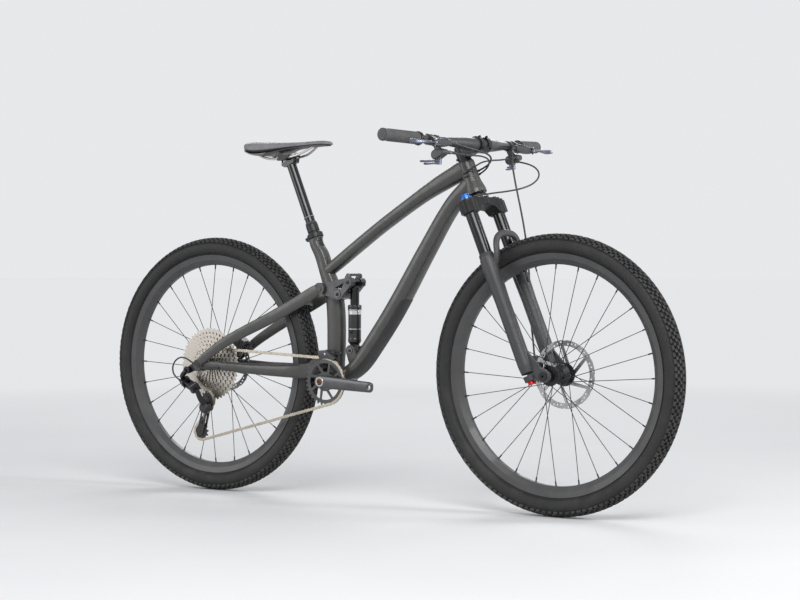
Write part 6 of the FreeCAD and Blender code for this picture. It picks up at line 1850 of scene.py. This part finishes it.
@dataclass
class FrameParts:
    """Frame tubes with their guards, ports, seat parts and pivots."""

    guard_gap: float = 0.0009
    guard_weld: float = 1e-5
    stay_sections: tuple[tuple[float, ...], ...] = (
        (-0.5035, 0.0606, 0.0727, 0.3661, 0.0246), (-0.515, 0.0629, 0.0742, 0.3665, 0.0242),
        (-0.53, 0.0662, 0.076, 0.367, 0.0236), (-0.543, 0.0703, 0.0778, 0.3674, 0.023),
        (-0.5505, 0.07412, 0.0789, 0.3677, 0.0227), (-0.558, 0.07412, 0.0797, 0.368, 0.0224),
        (-0.566, 0.07412, 0.0799, 0.368, 0.0216))

    def build(self) -> None:
        """Dress the frame and add what is fixed to it."""
        paint(CARBON, "head_tube", "seat_tube", "down_tube", "top_tube", "chainstay", "seatstay")
        paint(PIVOT, "frame_bearings_and_axles", "rear_axle")
        paint(BLACK_ALLOY, "seat_clamp", "seatpost_outer", "saddle_clamp")
        paint(HARD_BLACK, "dropper_stanchion")
        paint(TITANIUM, "saddle_rails")
        paint(CONTROL, "rear_caliper")
        self.guard("down_tube_guard", "down_tube", "frame", lambda c, n: n.x * 0.82 - n.z * 0.57 > 0.42
                   and 0.34 < c.z < 0.56)
        self.guard("chainstay_guard", "chainstay", "swingarm", lambda c, n: c.y < -0.03 and -0.50 < c.x < -0.235
                   and (n.z > 0.35 or n.y > 0.6) and n.z > -0.3)
        for side in Side:
            self.stay_end(side)
        self.small_parts()

    def stay_end(self, side: Side) -> None:
        """Dropout with its sleeve over the end of one chainstay.

        Args:
            side: Side that it is on.
        """
        rings = [rounded_ring(Vector((x, side.value * (inner + outer) / 2, z)), Vector((0, (outer - inner) / 2, 0)),
                              Vector((0, 0, high / 2)), 0.8, 48) for x, inner, outer, z, high in self.stay_sections]
        sleeve = lofted("dropout_sleeve", rings)
        plate = turned_piece("dropout_plate", Vector((REAR_HUB.x, 0, REAR_HUB.z)), side.out, (
            (0.0062, 0.0741), (0.0152, 0.0741), (0.016, 0.0749), (0.016, 0.0791), (0.0152, 0.0799),
            (0.0062, 0.0799)), 64)
        dress(merged(f"chainstay_dropout_{side.label}", (sleeve, plate)), CARBON, "swingarm")

    def guard(self, name: str, node: str, body: str, wanted: Callable[[Vector, Vector], bool]) -> None:
        """Rubber guard that follows a tube's own surface.

        Args:
            name: Name of the guard.
            node: Tube that it covers.
            body: Body it rides on.
            wanted: Whether a face with that middle and normal is covered.
        """
        work = bmesh.new()
        work.from_mesh(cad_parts[node].data)
        bmesh.ops.remove_doubles(work, verts=work.verts, dist=self.guard_weld)
        work.normal_update()
        spare = [f for f in work.faces if not wanted(f.calc_center_median(), f.normal)]
        bmesh.ops.delete(work, geom=spare, context="FACES")
        work.normal_update()
        for vert in work.verts:
            vert.co += vert.normal * self.guard_gap
        mesh = bpy.data.meshes.new(name)
        work.to_mesh(mesh)
        work.free()
        piece = linked(name, mesh)
        wall = piece.modifiers.new("wall", "SOLIDIFY")
        wall.thickness = self.guard_gap * 0.9
        wall.offset = -1.0
        piece = frozen(piece, name)
        shade_by_angle(piece)
        dress(piece, GUARD, body)

    def small_parts(self) -> None:
        """Bolts of the pivots and clamps, the dropper's wiper and travel ring, and the port sleeves."""
        pivots = [*both_sides(-0.1455, 0.0409, 0.406, 0.0062, 0.0012),
                  *both_sides(-0.1065, 0.0374, 0.574, 0.0056, 0.0012),
                  *both_sides(-0.074, 0.024, 0.418, 0.0048, 0.0012)]
        bolts("pivot_sockets", "frame", HARD_BLACK, pivots)
        seat = SEAT.at(0.0067, -0.0255)
        bolts("seat_clamp_bolt", "frame", HARD_BLACK,
              ((seat + Vector((0, -0.007, 0)), Side.DRIVE.out, 0.0042, 0.0045),))
        tipped = Matrix.Rotation(math.radians(-5.0), 3, "Y")
        ahead, upward = tipped @ Vector((1, 0, 0)), tipped @ Vector((0, 0, 1))
        bolts("saddle_clamp_bolts", "saddle_post", STEEL,
              [(SADDLE_SEAT + ahead * x + upward * 0.0088, upward, 0.0042, 0.003)
               for x in (-0.025, 0.025)])
        dress_turned("dropper_wiper", SEAL, "frame", SEAT.at(0.0421), SEAT.up, (
            (0.01405, 0.0), (0.0166, 0.0), (0.0166, 0.0034), (0.0156, 0.0052), (0.0146, 0.0074), (0.01405, 0.0074)))
        dress_turned("dropper_travel_ring", PALE_TRIM_AND_HIGHLIGHT, "frame", SEAT.at(0.0625), SEAT.up, (
            (0.01402, 0.0), (0.0152, 0.0003), (0.0158, 0.0013), (0.0152, 0.0023), (0.01402, 0.0026)))
        top = STEER.at(0.5941, 0.0045)
        for side in Side:
            for drop in (0.0, 0.010):
                centre = top - STEER.up * drop + Vector((0, side.value * 0.024, 0))
                dress_turned(f"port_sleeve_{side.label}_{int(drop * 1000)}", SEAL, "frame",
                             centre, STEER.forward, (
                    (0.0, 0.0), (0.0046, 0.0), (0.0046, 0.0035), (0.004, 0.0052), (0.0029, 0.0058), (0.0, 0.0058)), 24)


@dataclass
class Suspension:
    """Rocker link and shock with their bolts and rings."""

    def build(self) -> None:
        """Dress the suspension parts."""
        paint(ROCKER, "rocker_link")
        paint(shock_finish(), "shock_body")
        paint(HARD_BLACK, "shock_shaft")
        bolts("stay_pivot_sockets", "seatstay", HARD_BLACK, both_sides(-0.1655, 0.0433, 0.589, 0.0058, 0.0016))
        bolts("shock_pivot_sockets", "rocker", HARD_BLACK, both_sides(-0.0725, 0.0351, 0.607, 0.0052, 0.0016))
        dress_turned("shock_wiper", SEAL, "shock_body", SHOCK_FOOT + SHOCK_AXIS * 0.12602, SHOCK_AXIS, (
            (0.0127, 0.0), (0.0165, 0.0), (0.0165, 0.0001), (0.0161, 0.0003), (0.0127, 0.0003)), 40)
        dress_turned("shock_air_valve", BLACK_ALLOY, "shock_body",
                     SHOCK_FOOT + SHOCK_AXIS * 0.052 + Vector((0.0, -0.0178, 0)), Vector((0.3, -1, 0)), (
            (0.0, 0.0), (0.0046, 0.0), (0.0046, 0.0072), (0.0038, 0.0084), (0.0, 0.0084)), 24)


# ---------------------------------------------------------------- drivetrain


@dataclass
class Drivetrain:
    """Crank, chain, chain guide, cassette and derailleur."""

    def build(self) -> None:
        """Dress the drivetrain and add the spindle's ends, the lockring and the chain guide."""
        paint(CRANK, "crank_arm_right", "crank_arm_left")
        paint(CHAINRING, "chainring")
        paint(CHAIN, "chain")
        paint(cassette_finish(), "cassette")
        paint(DERAILLEUR, "derailleur_base", "derailleur_outer_link", "derailleur_inner_link", "derailleur_knuckle",
              "derailleur_cage")
        paint(RESIN, "guide_pulley", "tension_pulley")
        self.spindle()
        self.cassette_lockring()
        self.chain_guide()

    def spindle(self) -> None:
        """Ring and cap at each end of the hollow spindle."""
        for side, body_end in ((-1, "right"), (1, "left")):
            seat = BRACKET + Vector((0, side * 0.0772, 0))
            out = Vector((0, side, 0))
            dress_turned(f"spindle_ring_{body_end}", STEEL if side < 0 else BLACK_ALLOY, "crank", seat, out, (
                (0.0092, -0.001), (0.0134, -0.001), (0.0134, 0.0018), (0.0124, 0.0026), (0.0098, 0.0026),
                (0.0092, 0.0018)))
            dress_turned(f"spindle_cap_{body_end}", BRONZE if side < 0 else BLACK_ALLOY, "crank", seat, out, (
                (0.0, -0.0035), (0.0091, -0.0035), (0.0091, 0.0004), (0.0072, 0.0012), (0.004, 0.0012),
                (0.0036, -0.0012), (0.0, -0.0012)), 40)

    def cassette_lockring(self) -> None:
        """Ring that closes the cassette on the freehub."""
        low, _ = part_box("cassette")
        seat = Vector((REAR_HUB.x, low.y + 0.0004, REAR_HUB.z))
        dress_turned("cassette_lockring", BLACK_ALLOY, "cassette", seat, -SIDEWAYS, (
            (0.0125, -0.001), (0.0186, -0.001), (0.0186, 0.0006), (0.0168, 0.0018), (0.0138, 0.0018),
            (0.0125, 0.0008)))

    def chain_guide(self) -> None:
        """Keeper that straddles the chain over the chainring, on its bracket from the seat tube."""
        rings = []
        for i in range(29):
            share = i / 28
            angle = math.radians(104 - 44 * share)
            high = 0.0868 - 0.0118 * held((share - 0.42) / 0.5) ** 0.8
            low = 0.0625 + 0.0035 * share
            under = min(0.0735, high - 0.0025)
            section = ((low, -0.0588), (high - 0.0016, -0.0588), (high, -0.0572), (high, -0.0467),
                       (high - 0.0016, -0.0451), (low, -0.0451), (low, -0.0471), (under, -0.0471),
                       (under, -0.0568), (low, -0.0568))
            rings.append([BRACKET + spoke_way(angle) * r + SIDEWAYS * y for r, y in section])
        keeper = lofted("chain_guide_keeper", rings)
        shade_by_angle(keeper)
        dress(softened(keeper, 0.0005), CONTROL, "frame")
        corners = ((-0.1225, 0.4075), (-0.1115, 0.4065), (-0.1105, 0.4140), (-0.1215, 0.4150))
        bracket = lofted("chain_guide_bracket", [[Vector((x, y, z)) for x, z in corners]
                                                 for y in (-0.0455, -0.036, -0.026, -0.012)])
        dress(softened(bracket, 0.0008), CONTROL, "frame")
        bolts("chain_guide_bolt", "frame", STEEL, (((-0.1335, -0.0587, 0.4085), Side.DRIVE.out, 0.0034, 0.0009),))


def main() -> None:
    """Build the scene, one sub-assembly after another."""
    logging.basicConfig(level=logging.INFO, format="%(name)s: %(message)s")
    for assembly in (Studio(), ControlLines(), FrameParts(), Fork(), Cockpit(), Wheels(), Suspension(), Drivetrain(),
                     Saddle()):
        assembly.build()
        LOG.info("%s is done", type(assembly).__name__)


if __name__ == "__main__":
    main()
